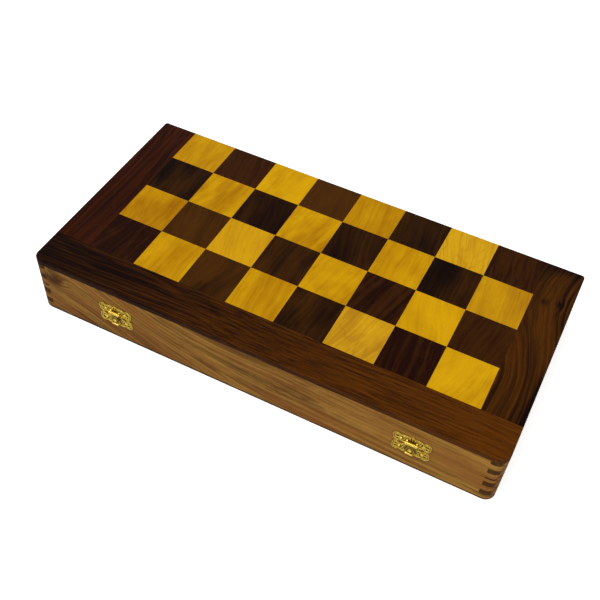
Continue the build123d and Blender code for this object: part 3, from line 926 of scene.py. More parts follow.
@dataclass
class Relief:
    """A plate cut to an outline on a fine grid, with a worked face.

    The depth rule tells how deep inside the outline a place is, and the face rule how high the face is
    there. Where the back is None it mirrors the face.
    """

    across: Pair
    up: Pair
    step: float
    depth: DepthRule
    face: FaceRule
    back: float | None = 0.0

    def build(self) -> Part:
        """Cut the plate.

        Returns:
            The closed part, with the low places of its face marked for painted shade.
        """
        spans = (self.across, self.up)
        lines = [np.linspace(low, high, round((high - low) / self.step) + 1) for low, high in spans]
        u, v, kept = self._snap(*np.meshgrid(*lines, indexing="ij"))
        cells = self._cells(u, v, kept)
        inner = np.maximum(self.depth(u, v), 0)
        inner[kept == 0] = 0
        face = self.face(u, v, inner)
        back = -face if self.back is None else np.full(face.shape, self.back)
        used = sorted({index for cell in cells for index in cell})
        place = {index: order for order, index in enumerate(used)}
        count = len(used)
        us, vs, tops, floors = (array.ravel()[used].tolist() for array in (u, v, face, back))
        fronts = [tuple(place[index] for index in cell) for cell in cells]
        faces = [*fronts, *(tuple(count + index for index in reversed(cell)) for cell in fronts)]
        faces += [(b, a, count + a, count + b) for a, b in self._rim(fronts)]
        # Share of the face's height at each point; the clasp brass paints shade where it is low, and the back
        # gets a middle value.
        low, high = min(tops), max(tops)
        polish = [(height - low) / max(high - low, 1e-6) for height in tops]
        return Part([*zip(us, vs, tops), *zip(us, vs, floors)], faces, [*polish, *[0.5] * count])

    def _snap(self, u: Grid, v: Grid) -> tuple[Grid, Grid, Grid]:
        """Move grid points onto the outline where it crosses near them.

        Args:
            u: Places across.
            v: Places up.

        Returns:
            The moved places, and for each whether it is in, out or on the outline, as 1, -1 or 0.
        """
        depth = self.depth(u, v)
        share = np.full(depth.shape, 0.5)
        moves = np.zeros((2, *depth.shape))
        moved = np.zeros(depth.shape, bool)
        for axis in (0, 1):
            low = tuple(slice(None, -1) if axis == side else slice(None) for side in (0, 1))
            high = tuple(slice(1, None) if axis == side else slice(None) for side in (0, 1))
            crossed = (depth[low] > 0) != (depth[high] > 0)
            along = np.where(crossed, depth[low] / np.where(crossed, depth[low] - depth[high], 1), 9)
            for part, distance, sign in ((low, along, 1), (high, 1 - along, -1)):
                nearer = crossed & (distance <= share[part])
                share[part] = np.where(nearer, distance, share[part])
                moves[(1 - axis, *part)] = np.where(nearer, 0, moves[(1 - axis, *part)])
                moves[(axis, *part)] = np.where(nearer, sign * distance * self.step, moves[(axis, *part)])
                moved[part] |= nearer
        return u + moves[0], v + moves[1], np.where(moved, 0, np.sign(depth)).astype(int)

    def _cells(self, u: Grid, v: Grid, kept: Grid) -> list[tuple[int, ...]]:
        """List the cells and corners of cells that are inside the outline.

        Args:
            u: Places across.
            v: Places up.
            kept: Which of them are in, out or on the outline.

        Returns:
            The numbers of the grid points round each cell.
        """
        index = np.arange(kept.size).reshape(kept.shape)
        corners, marks = (four_corners(array) for array in (index, kept))
        middle = self.depth(*(sum(four_corners(array)) / 4 for array in (u, v)))
        outside = sum(mark < 0 for mark in marks)
        inside = sum(mark > 0 for mark in marks)
        whole = (outside == 0) & ((inside > 0) | (middle > 0))
        cells = list(zip(*(corner[whole].tolist() for corner in corners)))
        for number in range(4):
            cut = (outside == 1) & (marks[number] < 0) & (inside > 0)
            cells += zip(*(corners[(number + turn) % 4][cut].tolist() for turn in (1, 2, 3)))
        return cells

    @staticmethod
    def _rim(cells: list[tuple[int, ...]]) -> list[tuple[int, int]]:
        """List the edges that only one cell has.

        Args:
            cells: The points round each cell.

        Returns:
            The two ends of each such edge.
        """
        rim: dict[tuple[int, int], None] = {}
        for cell in cells:
            for start, end in zip(cell, (*cell[1:], cell[0])):
                if (end, start) in rim:
                    del rim[end, start]
                else:
                    rim[start, end] = None
        return list(rim)


def four_corners(grid: Grid) -> list[Grid]:
    """Give the values at the four corners of each cell of a grid, in order round the cell."""
    return [grid[:-1, :-1], grid[1:, :-1], grid[1:, 1:], grid[:-1, 1:]]


@dataclass
class Repeats:
    """A small fitting set on many points by a tree of geometry nodes. Sizes are in millimetres.

    Each leans about X by its radians, turns by chance about its own line, and is as many times wider
    than its unit as its reach says.
    """

    name: str
    places: Sequence[Point]
    leans: Sequence[float]
    reaches: Sequence[float]
    seed: int = 7

    def unit(self, graph: Graph, size: dict[str, Signal]) -> Signal:
        """Make one fitting, with its seat at the origin and its head along Z."""
        raise NotImplementedError

    def sizes(self) -> dict[str, float]:
        """Give the sizes that only this kind of fitting has, by name."""
        shared = {item.name for item in fields(Repeats)}
        return {item.name: getattr(self, item.name) for item in fields(self) if item.name not in shared}

    @staticmethod
    def cone(
        graph: Graph, sides: int, top: Signal, bottom: Signal, length: Signal, under: Signal | Number = 0
    ) -> Signal:
        """Hang a cone below a level.

        Args:
            graph: The tree's graph.
            sides: Its number of sides.
            top: Radius of its upper end.
            bottom: Radius of its lower end.
            length: Its length.
            under: How far its upper end is below the seat.

        Returns:
            The cone's geometry.
        """
        taper = {"Vertices": sides, "Radius Top": top, "Radius Bottom": bottom, "Depth": length}
        made = graph.node("GeometryNodeMeshCone", inputs=taper)
        place = graph.vector(0.0, 0.0, -length - under)
        return graph.node("GeometryNodeTransform", inputs={"Geometry": made, "Translation": place})

    def build(self, material: bpy.types.Material, body: str, slot: str, node: str) -> None:
        """Run the tree on the places and keep its result as a plain mesh.

        Args:
            material: The fittings' finish.
            body: The body that they ride on.
            slot: Their material slot.
            node: The node that they stand for.
        """
        mesh = bpy.data.meshes.new(self.name)
        mesh.from_pydata([Vector(place) * MM for place in self.places], [], [])
        for name, values in (("reach", self.reaches), ("lean", self.leans)):
            mesh.attributes.new(name, "FLOAT", "POINT").data.foreach_set("value", values)
        piece = link(self.name, mesh)
        modifier = piece.modifiers.new("set_out", "NODES")
        modifier.node_group, keys, finish = self._tree()
        for name, size in self.sizes().items():
            modifier[keys[name]] = size * MM
        modifier[finish] = material
        evaluated = piece.evaluated_get(bpy.context.evaluated_depsgraph_get())
        made = bpy.data.meshes.new_from_object(evaluated)
        piece.modifiers.clear()
        piece.data = made
        clean(made, 35.0)
        place_piece(piece, body, slot, node)

    def _tree(self) -> tuple[bpy.types.NodeTree, dict[str, str], str]:
        """Wire the tree that sets the fittings out.

        Returns:
            The tree, the identifier of each size's input, and that of the finish's input.
        """
        tree = bpy.data.node_groups.new(self.name, "GeometryNodeTree")
        socket = tree.interface.new_socket
        socket("Points", in_out="INPUT", socket_type="NodeSocketGeometry")
        number = {"in_out": "INPUT", "socket_type": "NodeSocketFloat"}
        keys = {name: socket(name, **number).identifier for name in self.sizes()}
        finish = socket("Finish", in_out="INPUT", socket_type="NodeSocketMaterial").identifier
        socket("Fittings", in_out="OUTPUT", socket_type="NodeSocketGeometry")
        graph = Graph(tree)
        given = graph.node("NodeGroupInput")
        unit = self.unit(graph, {name: graph.also(given, name) for name in keys})
        plain = {"data_type": "FLOAT"}
        reach, lean = (
            graph.node("GeometryNodeInputNamedAttribute", plain, {"Name": name}) for name in ("reach", "lean")
        )
        spin = graph.node("FunctionNodeRandomValue", plain, {2: -math.pi, 3: math.pi, "Seed": self.seed}, 1)
        turn, size = graph.vector(lean, 0.0, 0.0), graph.vector(reach, reach, 1.0)
        inputs = {"Points": given, "Instance": unit, "Rotation": turn, "Scale": size}
        set_out = graph.node("GeometryNodeInstanceOnPoints", inputs=inputs)
        inputs = {0: set_out, "Rotation": graph.vector(0.0, 0.0, spin)}
        spun = graph.node("GeometryNodeRotateInstances", inputs=inputs)
        joined = graph.node("GeometryNodeRealizeInstances", inputs={0: spun})
        inputs = {0: joined, "Material": graph.also(given, "Finish")}
        graph.node("NodeGroupOutput", inputs={0: graph.node("GeometryNodeSetMaterial", inputs=inputs)})
        return tree, keys, finish


@dataclass
class Nails(Repeats):
    """Small nails with a domed head: its radius and height, and the shank's radius and length."""

    head: float = 1.1
    height: float = 0.6
    shank: float = 0.5
    length: float = 7.9

    def unit(self, graph: Graph, size: dict[str, Signal]) -> Signal:
        """Make a domed head on a tapered shank.

        Args:
            graph: The tree's graph.
            size: The nail's sizes by name.

        Returns:
            One nail.
        """
        ball_inputs = {"Segments": 20, "Rings": 12, "Radius": size["head"]}
        sphere = graph.node("GeometryNodeMeshUVSphere", inputs=ball_inputs)
        x, y, z = graph.parts(graph.node("GeometryNodeInputPosition"))
        flat = graph.vector(x, y, z.larger(0.0) * size["height"] / size["head"])
        dome = graph.node("GeometryNodeSetPosition", inputs={"Geometry": sphere, "Position": flat})
        shank = self.cone(graph, 10, size["shank"], size["shank"] * 0.3, size["length"])
        return graph.node("GeometryNodeJoinGeometry", inputs={0: [dome, shank]})


@dataclass
class Screws(Repeats):
    """Slotted countersunk screws: radii of head and shank, the shank's length and the slot's width."""

    head: float = 1.9
    shank: float = 1.1
    length: float = 8.0
    slot: float = 0.6

    def unit(self, graph: Graph, size: dict[str, Signal]) -> Signal:
        """Make a countersunk head with a slot, on its shank.

        Args:
            graph: The tree's graph.
            size: The screw's sizes by name.

        Returns:
            One screw.
        """
        radius, shank, slot = size["head"], size["shank"], size["slot"]
        depth = radius - shank
        head = self.cone(graph, 32, radius, shank, depth)
        box = graph.node("GeometryNodeMeshCube", inputs={"Size": graph.vector(radius * 3, slot, slot * 1.3)})
        exact = {"operation": "DIFFERENCE", "solver": "EXACT"}
        slotted = graph.node("GeometryNodeMeshBoolean", exact, {"Mesh 1": head, "Mesh 2": box})
        stem = self.cone(graph, 16, shank, shank * 0.5, size["length"], depth)
        return graph.node("GeometryNodeJoinGeometry", inputs={0: [slotted, stem]})


@dataclass
class Felts(Repeats):
    """Baize discs of one thickness, each as wide as its own reach."""

    thickness: float = 0.8

    def unit(self, graph: Graph, size: dict[str, Signal]) -> Signal:
        """Make a disc of unit radius with a soft edge and a slightly crowned face.

        Args:
            graph: The tree's graph.
            size: The disc's sizes by name.

        Returns:
            One disc.
        """
        depth = size["thickness"]
        rings = {"Vertices": 40, "Side Segments": 3, "Fill Segments": 4}
        flat = graph.node("GeometryNodeMeshCylinder", inputs={**rings, "Radius": MM, "Depth": depth})
        x, y, z = graph.parts(graph.node("GeometryNodeInputPosition"))
        away = (x * x + y * y).root() / MM
        place = graph.vector(x, y, z * (1 - (away**6) * 0.35) + depth * -0.5)
        return graph.node("GeometryNodeSetPosition", inputs={"Geometry": flat, "Position": place})


@dataclass
class Clasp:
    """The two clasps: pierced butterfly plates, a hinged tongue and a catch. Sizes are in millimetres.

    Attributes:
        wing: Distance of the four outer lobes from the middle.
        wing_top: Rise and radius of those farther from the parting line.
        wing_low: Rise and radius of those nearer to it.
        neck: Distance, rise and radius of the inner lobes.
        piercings: Radii of the holes in the three kinds of lobes.
        neck_shift: Distance of an inner lobe's two holes from its middle.
        rim: Distance of the raised rim from the edge, and its width.
        rings: Radii of the raised rings in the three kinds of lobes.
        ring: Width and height of those rings.
        leaves: Leaves in a full turn of the inner lobes' fan, and of the spray in the middle.
        axis: Distance of the tongue's axis from the wall, and its rise.
        ear: Distances of an ear's two ends from the middle.
        strap: Half the tongue's width, and the levels of its back and its highest face.
        boss: Drop, radius and height of the tongue's boss.
        catch: Drop, radius and half length of the bead under the tongue.
    """

    centres: dict[Side, float]
    front: float
    parting: float
    plate: float = 1.0
    field_level: float = 0.5
    edge_gap: float = 0.4
    wing: float = 13.2
    wing_top: Pair = (7.5, 4.3)
    wing_low: Pair = (4.1, 3.7)
    neck: Point = (6.9, 6.3, 5.1)
    crest: Pair = (10.6, 2.2)
    piercings: Point = (1.4, 1.0, 0.9)
    neck_shift: float = 2.1
    rim: Pair = (0.42, 0.5)
    rings: Point = (2.75, 2.35, 3.75)
    ring: Pair = (0.4, 0.75)
    leaves: tuple[int, int] = (12, 34)
    nail: Pair = (10.1, 5.6)
    nail_seat: float = 1.3
    axis: Pair = (2.65, 5.2)
    knuckle: float = 1.49
    bore: float = 0.65
    bead: float = 0.16
    ear: Pair = (3.75, 5.25)
    strap: Point = (3.6, 2.2, 3.1)
    drop: float = 8.4
    scallop: float = 1.2
    lip: float = 0.9
    boss: Point = (4.0, 2.0, 0.65)
    catch: Point = (5.6, 1.05, 3.0)
    grid: float = 0.2

    @classmethod
    def on_frame(cls) -> "Clasp":
        """Take the places of the clasps from the frame.

        Returns:
            The clasps, which aren't made yet.
        """
        ends = {side: in_mm(f"clasp_{side.value}_tongue") for side in Side}
        centres = {side: (low[0] + high[0]) / 2 for side, (low, high) in ends.items()}
        return cls(centres, in_mm("tray_front_wall")[0][1], Box.parting())

    def build(self, materials: dict[str, bpy.types.Material]) -> None:
        """Make the plates, tongues and nails of both clasps, and dress the tongues' pins.

        Args:
            materials: The finishes by name.
        """
        worked, plain = materials["clasp_brass"], materials["brass"]
        for side, centre in self.centres.items():
            tongue = Workpiece(f"clasp_{side.value}_strap")
            tongue.add(self._tongue(), self._at(centre, Half.LID))
            node = f"clasp_{side.value}_tongue"
            place_piece(tongue.object(worked), node, "brass", node)
        held = {Half.LID: [*self._ear(-1), *self._ear(1)], Half.TRAY: [self._catch()]}
        for half, extras in held.items():
            plates = Workpiece(f"clasp_{half.plate}_filigree")
            parts = [self._plate(half), *extras]
            for centre in self.centres.values():
                plates.add(parts, self._at(centre, half))
            place_piece(plates.object(worked), half.body, "brass", f"clasp_{half.plate}_plates")
            nails = self._nails(half)
            nails.build(plain, half.body, "brass", f"clasp_{half.plate}_nails")
        dress("clasp_tongue_pins", plain)

    def _at(self, centre: float, half: Half) -> Matrix:
        """Give the place of a clasp's parts, drawn across, away from the parting line and outwards."""
        rise = (0, half.away, 0, self.parting)
        return Matrix(((1, 0, 0, centre), (0, 0, -1, self.front), rise, (0, 0, 0, 1)))

    def _nails(self, half: Half) -> Nails:
        """Set out the nails of the plates on one half.

        Args:
            half: The half.

        Returns:
            The nails, which aren't made yet.
        """
        across, rise = self.nail
        height = self.parting + half.away * rise
        xs = [centre + sign * across for centre in self.centres.values() for sign in (-1, 1)]
        places = [(x, self.front - self.plate, height) for x in xs]
        return Nails(f"clasp_{half.plate}_round_nails", places, [QUARTER] * len(xs), [1.0] * len(xs))

    def _lobes(self) -> list[Point]:
        """List the lobes of a plate's right side: distance, rise and radius."""
        return [(self.wing, *self.wing_top), (self.wing, *self.wing_low), self.neck]

    def _plate(self, half: Half) -> Part:
        """Cut a butterfly plate with beaded rims, rings and ribs.

        Args:
            half: The half that it is nailed to. The lid's plate has a crest.

        Returns:
            The plate.
        """
        reach = self.wing + self.wing_top[1] + self.grid
        top = sum(self.crest if half is Half.LID else self.wing_top)
        up = (self.edge_gap - 2 * self.grid, top + 2 * self.grid)
        depth = partial(self._plate_depth, half)
        return Relief((-reach, reach), up, self.grid, depth, self._plate_face).build()

    def _plate_depth(self, half: Half, u: Grid, v: Grid) -> Grid:
        """Give the depth inside a plate's outline and outside its holes.

        Args:
            half: The half that it is nailed to.
            u: Places across.
            v: Places up.

        Returns:
            The depth, which is negative outside the plate.
        """
        x, y, radius = self.neck
        waist = (y + radius - self.edge_gap) / 2
        inside = panel(u, v, self.edge_gap + waist, x, waist)
        if half is Half.LID:
            inside = np.maximum(inside, disc(u, v, 0, *self.crest))
        for lobe in self._lobes():
            inside = np.maximum(inside, disc(abs(u), v, *lobe))
        far, near, middle = self.piercings
        holes = [(self.wing, self.wing_top[0], far), (self.wing, self.wing_low[0], near)]
        holes += [(x, y + shift, middle) for shift in (-self.neck_shift, self.neck_shift)]
        for hole in holes:
            inside = np.minimum(inside, -disc(abs(u), v, *hole))
        return inside

    def _plate_face(self, u: Grid, v: Grid, inside: Grid) -> Grid:
        """Raise a plate's rim, rings, fans and spray, and level the nails' seats.

        Args:
            u: Places across.
            v: Places up.
            inside: Depth inside the outline.

        Returns:
            The height of the face.
        """
        beside = abs(u)
        raised = swell(inside, *self.rim)
        width, height = self.ring
        for (x, y, _), reach in zip(self._lobes(), self.rings):
            ring = swell(np.hypot(beside - x, v - y), reach, width) * (inside > 0.75)
            raised = np.maximum(raised, height * ring)
        x, y, radius = self.neck
        fan, spray = self.leaves
        petals = 0.5 + 0.5 * np.cos(np.arctan2(v - y, beside - x) * fan)
        band = swell(np.hypot(beside - x, v - y), radius - 1.0, 0.8) * (inside > 0.6)
        raised = np.maximum(raised, 0.55 * petals * band)
        rays = 0.5 + 0.5 * np.cos(np.arctan2(beside, v + 4.0) * spray)
        raised = np.maximum(raised, 0.6 * rays * ((beside < 3.4) & (inside > 0.8)))
        seat = np.hypot(beside - self.nail[0], v - self.nail[1]) < self.nail_seat
        return self.field_level + (self.plate - self.field_level) * np.where(seat, 1.0, raised)

    def _barrel(self, low: float, high: float, beads: int) -> Part:
        """Turn a barrel with beads along its length, lying across the clasp on its axis.

        Args:
            low: One end of it.
            high: The other end.
            beads: Number of beads.

        Returns:
            The barrel.
        """
        out, rise = self.axis
        outer = []
        for share in np.linspace(0, 1, 6 * beads + 1):
            swelling = abs(math.sin(share * beads * math.pi)) ** 0.5
            outer.append((self.knuckle - self.bead + self.bead * swelling, low + (high - low) * share))
        barrel = turned([*outer, (self.bore, high), (self.bore, low)], 28, loop=True)
        barrel.points = [(z, y + rise, out - x) for x, y, z in barrel.points]
        return barrel

    def _ear(self, sign: int) -> list[Part]:
        """Make one ear: a barrel on a flared stem.

        Args:
            sign: 1 for the right ear, -1 for the left.

        Returns:
            Its two parts.
        """
        out, rise = self.axis
        foot, bore = self.field_level / 2, self.bore
        barrel = self._barrel(*self.ear, 1)
        barrel.points = [(sign * x, y, z) for x, y, z in barrel.points]
        flare = [(1.5, out), (1.5, 1.4), (1.7, 1.0), (2.1, 0.8), (2.1, foot)]
        under = [(bore, out), (bore * 0.7, out - bore * 0.7)]
        left = [[(-x, y) for x, y in side] for side in (flare, under)]
        outline = [*flare, *reversed(left[0]), *left[1], (0, out - bore), *reversed(under)]
        stem = prism(outline, *self.ear)
        stem.points = [(sign * z, rise + x, y) for x, y, z in stem.points]
        return [barrel, stem]

    def _catch(self) -> Part:
        """Make the round bead that the tongue rides over.

        Returns:
            The bead.
        """
        drop, radius, half = self.catch
        bead = roll(radius, half, 0.5)
        bead.points = [(z, y + drop, max(x + self.plate, 0.2)) for x, y, z in bead.points]
        return bead

    def _tongue(self) -> list[Part]:
        """Make a tongue.

        Returns:
            A scalloped strap with a domed boss, a beaded barrel and a curled lip.
        """
        half, back, top = self.strap
        up = (-self.drop - self.grid, self._strap_end() + self.grid)
        across = (-half - self.grid, half + self.grid)
        strap = Relief(across, up, self.grid * 0.75, self._strap_depth, self._strap_face, back).build()
        lip = roll(self.lip, half, 0.4)
        lip.points = [(z, y - self.drop, x + top) for x, y, z in lip.points]
        return [strap, self._barrel(-half, half, 5), lip]

    def _strap_end(self) -> float:
        """Give the rise of the strap's upper end, just under the bore of its barrel."""
        return self.axis[1] - self.bore - 0.35

    def _strap_depth(self, u: Grid, v: Grid) -> Grid:
        """Give the depth inside the strap, with a scallop in each side.

        Args:
            u: Places across.
            v: Places up.

        Returns:
            The depth, which is negative outside the strap.
        """
        half, high = self.strap[0], self._strap_end()
        inside = panel(u, v, (high - self.drop) / 2, half, (high + self.drop) / 2)
        return np.minimum(inside, -disc(abs(u), v, half, 0, self.scallop))

    def _strap_face(self, u: Grid, v: Grid, inside: Grid) -> Grid:
        """Raise the strap's rim, rib, leaf and domed boss.

        Args:
            u: Places across.
            v: Places up.
            inside: Depth inside the outline.

        Returns:
            The height of the face.
        """
        _, back, top = self.strap
        drop, radius, height = self.boss
        rib = swell(abs(u), 0.0, 0.45) * (v > -1.2) * (v < 3.2)
        leaf = swell(np.hypot(u, (v - 1.3) / 1.5), 1.7, 0.4)
        worked = np.maximum(swell(inside, 0.4, 0.5), np.maximum(rib, leaf))
        low = back + (top - back) * (0.55 + 0.45 * worked)
        away = np.hypot(u, v + drop) / radius
        dome = np.sqrt(np.maximum(1 - away**2, 0)) * (height - 0.12 * swell(away, 0.0, 0.35))
        return np.where(away < 1, np.maximum(low, top - 0.1 + dome), low)


@dataclass(frozen=True)
class ManShape:
    """Sizes of one kind of man in millimetres. Base, waist, collar and head are radii."""

    height: float
    base: float
    waist: float
    collar: float
    collar_at: float
    head: float
    foot_length: float

    @property
    def top(self) -> float:
        """Give the height of the collar's upper edge."""
        return self.collar_at + 1.8

    def foot(self, rim: float) -> list[Pair]:
        """Draw the foot, the hollow stem and the collar, with a bead at each end of the stem.

        Args:
            rim: Height of the foot's rounded rim.

        Returns:
            Their profile, from the axis up to the neck.
        """
        edge, collar, at = self.base - 0.7, self.collar - 0.5, self.collar_at
        shoulder = edge - 1.9
        low, high = (shoulder, rim + 1.3), (self.waist, at - 1.6)
        level = (low[1] + high[1]) / 2
        middle = (0.75 * self.waist + 0.25 * shoulder, level - 1.9)
        if at < 15:
            middle = ((low[0] + high[0]) / 2 - 0.2, level)
        points = [(0, 0), (edge - 0.3, 0)]
        points += arc((edge - 0.3, 0), (edge + 0.7, rim / 2), (edge, rim), 10)
        points += [(edge - 0.5, rim + 0.08), (edge - 0.9, rim + 0.02)]
        points += arc((edge - 0.9, rim), (edge - 0.6, rim + 0.6), (shoulder, rim + 1.25), 6)
        points += arc(low, middle, high, 16)
        points += arc(high, (self.waist + 0.9, at - 1.1), (self.waist, at - 0.4), 6)
        points += [(collar, at), *arc((collar, at), (collar + 0.5, at + 0.9), (collar, self.top), 8)]
        return [*points, (self.collar - 2.6, self.top + 0.1)]


@dataclass
class Horse:
    """The carved head of a knight, in millimetres, with its outline in shares of its reach and height.

    The outline runs from the chest by the throat's curve to the muzzle, over the brow to the ear, and
    by the crest's curve down the nape.
    """

    reach: float
    top: float
    tall: float
    thick: float = 8.6
    front: tuple[Pair, ...] = (
        (0.36, 0.42), (0.78, 0.40), (1.0, 0.50), (0.96, 0.62), (0.40, 0.86), (0.18, 1.0), (-0.12, 0.88)
    )
    throat: Pair = (0.70, 0.20)
    crest: Pair = (-0.92, 0.46)
    feet: Pair = (0.60, -0.74)
    eye: Pair = (0.30, 0.76)
    nostril: Pair = (0.86, 0.53)
    jaw: Pair = (0.18, 0.60)

    def carve(self) -> Part:
        """Carve the head.

        Returns:
            The head, standing on Z with its face towards X.
        """
        across = (-self.reach * 0.95, self.reach * 1.05)
        up = (self.top - 0.8, self.top + self.tall + 0.3)
        head = Relief(across, up, 0.3, self._depth, self._flank, None).build()
        head.points = [(x, z, y) for x, y, z in head.points]
        return head

    def _at(self, share: Pair) -> Pair:
        """Turn shares across and up into a place."""
        return share[0] * self.reach, self.top + share[1] * self.tall

    def _depth(self, u: Grid, v: Grid) -> Grid:
        """Give the depth inside the head's outline.

        Args:
            u: Places across.
            v: Places up.

        Returns:
            The depth, which is negative outside it.
        """
        chest, nape = ((share * self.reach, self.top - 0.5) for share in self.feet)
        face = [self._at(share) for share in self.front]
        corners = [chest, *arc(chest, self._at(self.throat), face[0], 10), *face[1:]]
        return polygon(u, v, [*corners, *arc(face[-1], self._at(self.crest), nape, 20)])

    def _flank(self, u: Grid, v: Grid, inside: Grid) -> Grid:
        """Shape one side of the head: muzzle, mane, eye, nostril, mouth and jaw.

        Args:
            u: Places across.
            v: Places up.
            inside: Depth inside the outline.

        Returns:
            Half the thickness there.
        """
        x, z = u / self.reach, (v - self.top) / self.tall
        eye, nostril, jaw = (
            np.hypot(x - across, (z - up) * self.tall / self.reach)
            for across, up in (self.eye, self.nostril, self.jaw)
        )
        muzzle = np.clip((x - 0.2) / 0.7, 0, 1) * np.clip((z - 0.3) / 0.1, 0, 1)
        rounding = np.sqrt(1 - np.clip(1 - inside / 2.4, 0, 1) ** 2)
        half = self.thick / 2 * rounding * (1 - 0.32 * muzzle)
        mane = np.clip((0.12 - x - 0.1 * z) / 0.2, 0, 1) * (z > 0.06) * (z < 0.93)
        lock = 0.5 + 0.5 * np.cos((v * 1.9 + u * 1.3) + 1.2 * np.sin(v * 0.7))
        half = half - 0.55 * mane * lock * np.clip(inside / 1.2, 0, 1)
        half = half + 0.5 * swell(eye, 0.0, 0.14) - 0.35 * swell(eye, 0.19, 0.07)
        half = half - 0.5 * swell(nostril, 0.0, 0.09)
        mouth = swell(v - self.top - self.tall * (0.455 + 0.03 * x), 0.0, 0.35) * (x > 0.6)
        cheek = swell(jaw, 0.36, 0.08) * (x < 0.5)
        half = half - (0.4 * mouth + 0.3 * cheek) * np.clip(inside / 0.8, 0, 1)
        return np.clip(half, 0, self.thick / 2)


@dataclass
class Turnery:
    """The turned and carved men of both sides, lying in their pockets. Sizes are in millimetres.

    Low and high are corners of the tray's insert, whose top is level with the men's axes.

    Attributes:
        cross: Span, width and thickness of the king's cross.
        slot: Slant in degrees, half height, and depth in shares of the radius, of the bishop's slot.
        notch: Half the width of a notch between the rook's battlements.
    """

    low: Point
    high: Point
    parting: float
    officers_inset: float = 14.0
    pawns_inset: float = 20.0
    officers: tuple[Man, ...] = tuple(
        Man[name] for name in "ROOK KNIGHT BISHOP QUEEN KING BISHOP KNIGHT ROOK".split()
    )
    ribs: int = 40
    rim: float = 3.2
    ball: float = 1.7
    crown_drop: float = 2.6
    cross: Point = (7.0, 2.2, 2.0)
    slot: Point = (35.0, 0.75, 0.42)
    points: int = 8
    battlements: int = 6
    notch: float = 0.9
    felt: float = 0.8
    felt_inset: float = 1.0
    shapes: dict[Man, ManShape] = field(
        default_factory=lambda: {
            Man.KING: ManShape(70, 12, 4.2, 7.6, 43, 6.8, 15),
            Man.QUEEN: ManShape(62, 11.5, 4, 7.2, 38, 6.4, 14),
            Man.BISHOP: ManShape(52, 10.5, 3.7, 6.6, 30, 5.2, 13),
            Man.KNIGHT: ManShape(46, 10.5, 7.6, 8.6, 10, 8.4, 13),
            Man.ROOK: ManShape(40, 10, 5.2, 7.2, 26, 7.4, 12),
            Man.PAWN: ManShape(34, 9, 3.3, 5.8, 20.5, 4.9, 11),
        }
    )

    def places(self, half: Half) -> Iterator[tuple[Man, Matrix]]:
        """Go through the men of one half.

        Args:
            half: The half that they lie in.

        Yields:
            The kind of each man and the place of its foot.
        """
        turn = Matrix()
        if half is Half.LID:
            middle = Matrix.Translation((0, 0, self.parting))
            turn = middle @ Matrix.Rotation(math.pi, 4, "Y") @ middle.inverted()
        pitch = (self.high[0] - self.low[0]) / len(self.officers)
        rows = ((self.high[1] - self.officers_inset, QUARTER), (self.low[1] + self.pawns_inset, -QUARTER))
        for index, officer in enumerate(self.officers):
            x = self.low[0] + (index + 0.5) * pitch
            for kind, (foot, lean) in zip((officer, Man.PAWN), rows):
                place = Matrix.Translation((x, foot, self.high[2])) @ Matrix.Rotation(lean, 4, "X")
                yield kind, turn @ place

    def build(self, materials: dict[str, bpy.types.Material]) -> None:
        """Make every man of both sides, one piece for each kind, and the baize under their feet.

        Args:
            materials: The finishes by name.
        """
        makers = {
            Man.KING: self._king,
            Man.QUEEN: self._queen,
            Man.BISHOP: self._bishop,
            Man.KNIGHT: self._knight,
            Man.ROOK: self._rook,
            Man.PAWN: self._pawn,
        }
        for man, maker in makers.items():
            parts = maker(self.shapes[man])
            for half in Half:
                work = Workpiece(f"{half.men}_{man.value}_turned")
                for kind, place in self.places(half):
                    if kind is man:
                        work.add(parts, place)
                piece = work.object(materials[half.men_wood], 50.0)
                place_piece(piece, half.body, half.men_wood, f"{half.men}_{man.value}")
        for half in Half:
            self._felts(half).build(materials["baize"], half.body, "baize", f"{half.men}_base_felts")

    def _felts(self, half: Half) -> Felts:
        """Set out the baize under the men of one half.

        Args:
            half: The half.

        Returns:
            The discs, which aren't made yet.
        """
        feet = list(self.places(half))
        places = [tuple(place.translation) for _, place in feet]
        leans = [-QUARTER if kind is Man.PAWN else QUARTER for kind, _ in feet]
        reaches = [self.shapes[kind].base - self.felt_inset for kind, _ in feet]
        return Felts(f"{half.men}_baize_discs", places, leans, reaches, thickness=self.felt)

    def _pawn(self, shape: ManShape) -> list[Part]:
        """Turn a pawn with a round head.

        Args:
            shape: Its sizes.

        Returns:
            Its part.
        """
        profile = shape.foot(self.rim)
        neck, centre = profile[-1][0], shape.height - shape.head
        start = (neck, centre - math.sqrt(shape.head**2 - neck**2))
        head = arc(start, (shape.head, centre), (0, shape.height), 20)
        return [turned([*profile, start, *head], self.ribs)]

    def _bishop(self, shape: ManShape) -> list[Part]:
        """Turn a bishop with a pointed mitre, a slanting slot and a small ball.

        Args:
            shape: Its sizes.

        Returns:
            Its parts.
        """
        profile = shape.foot(self.rim)
        top = shape.height - self.ball
        belly = (2 * profile[-1][1] + top) / 3
        mitre = arc(profile[-1], (shape.head, belly), (0, top), 60)
        bend = partial(self._slotted, belly, (belly + top) / 2)
        return [turned([*profile, *mitre], self.ribs * 2, bend), ball(self.ball, top)]

    def _slotted(self, belly: float, middle: float, angle: float, radius: float, height: float) -> Pair:
        """Cut the slanting slot into a bishop's mitre.

        Args:
            belly: Height of the mitre's widest part.
            middle: Height of the slot on the axis.
            angle: Angle of a point of the mitre.
            radius: Its radius.
            height: Its height.

        Returns:
            The point's radius and height with the slot.
        """
        slant, half_height, depth = self.slot
        lean = height - radius * math.cos(angle) * math.tan(math.radians(slant)) - middle
        in_front = math.cos(angle) > 0.25 and height > belly - 4
        cut = max(0.0, 1 - abs(lean) / half_height) if in_front else 0.0
        return radius * (1 - depth * min(1.0, cut * 2)), height

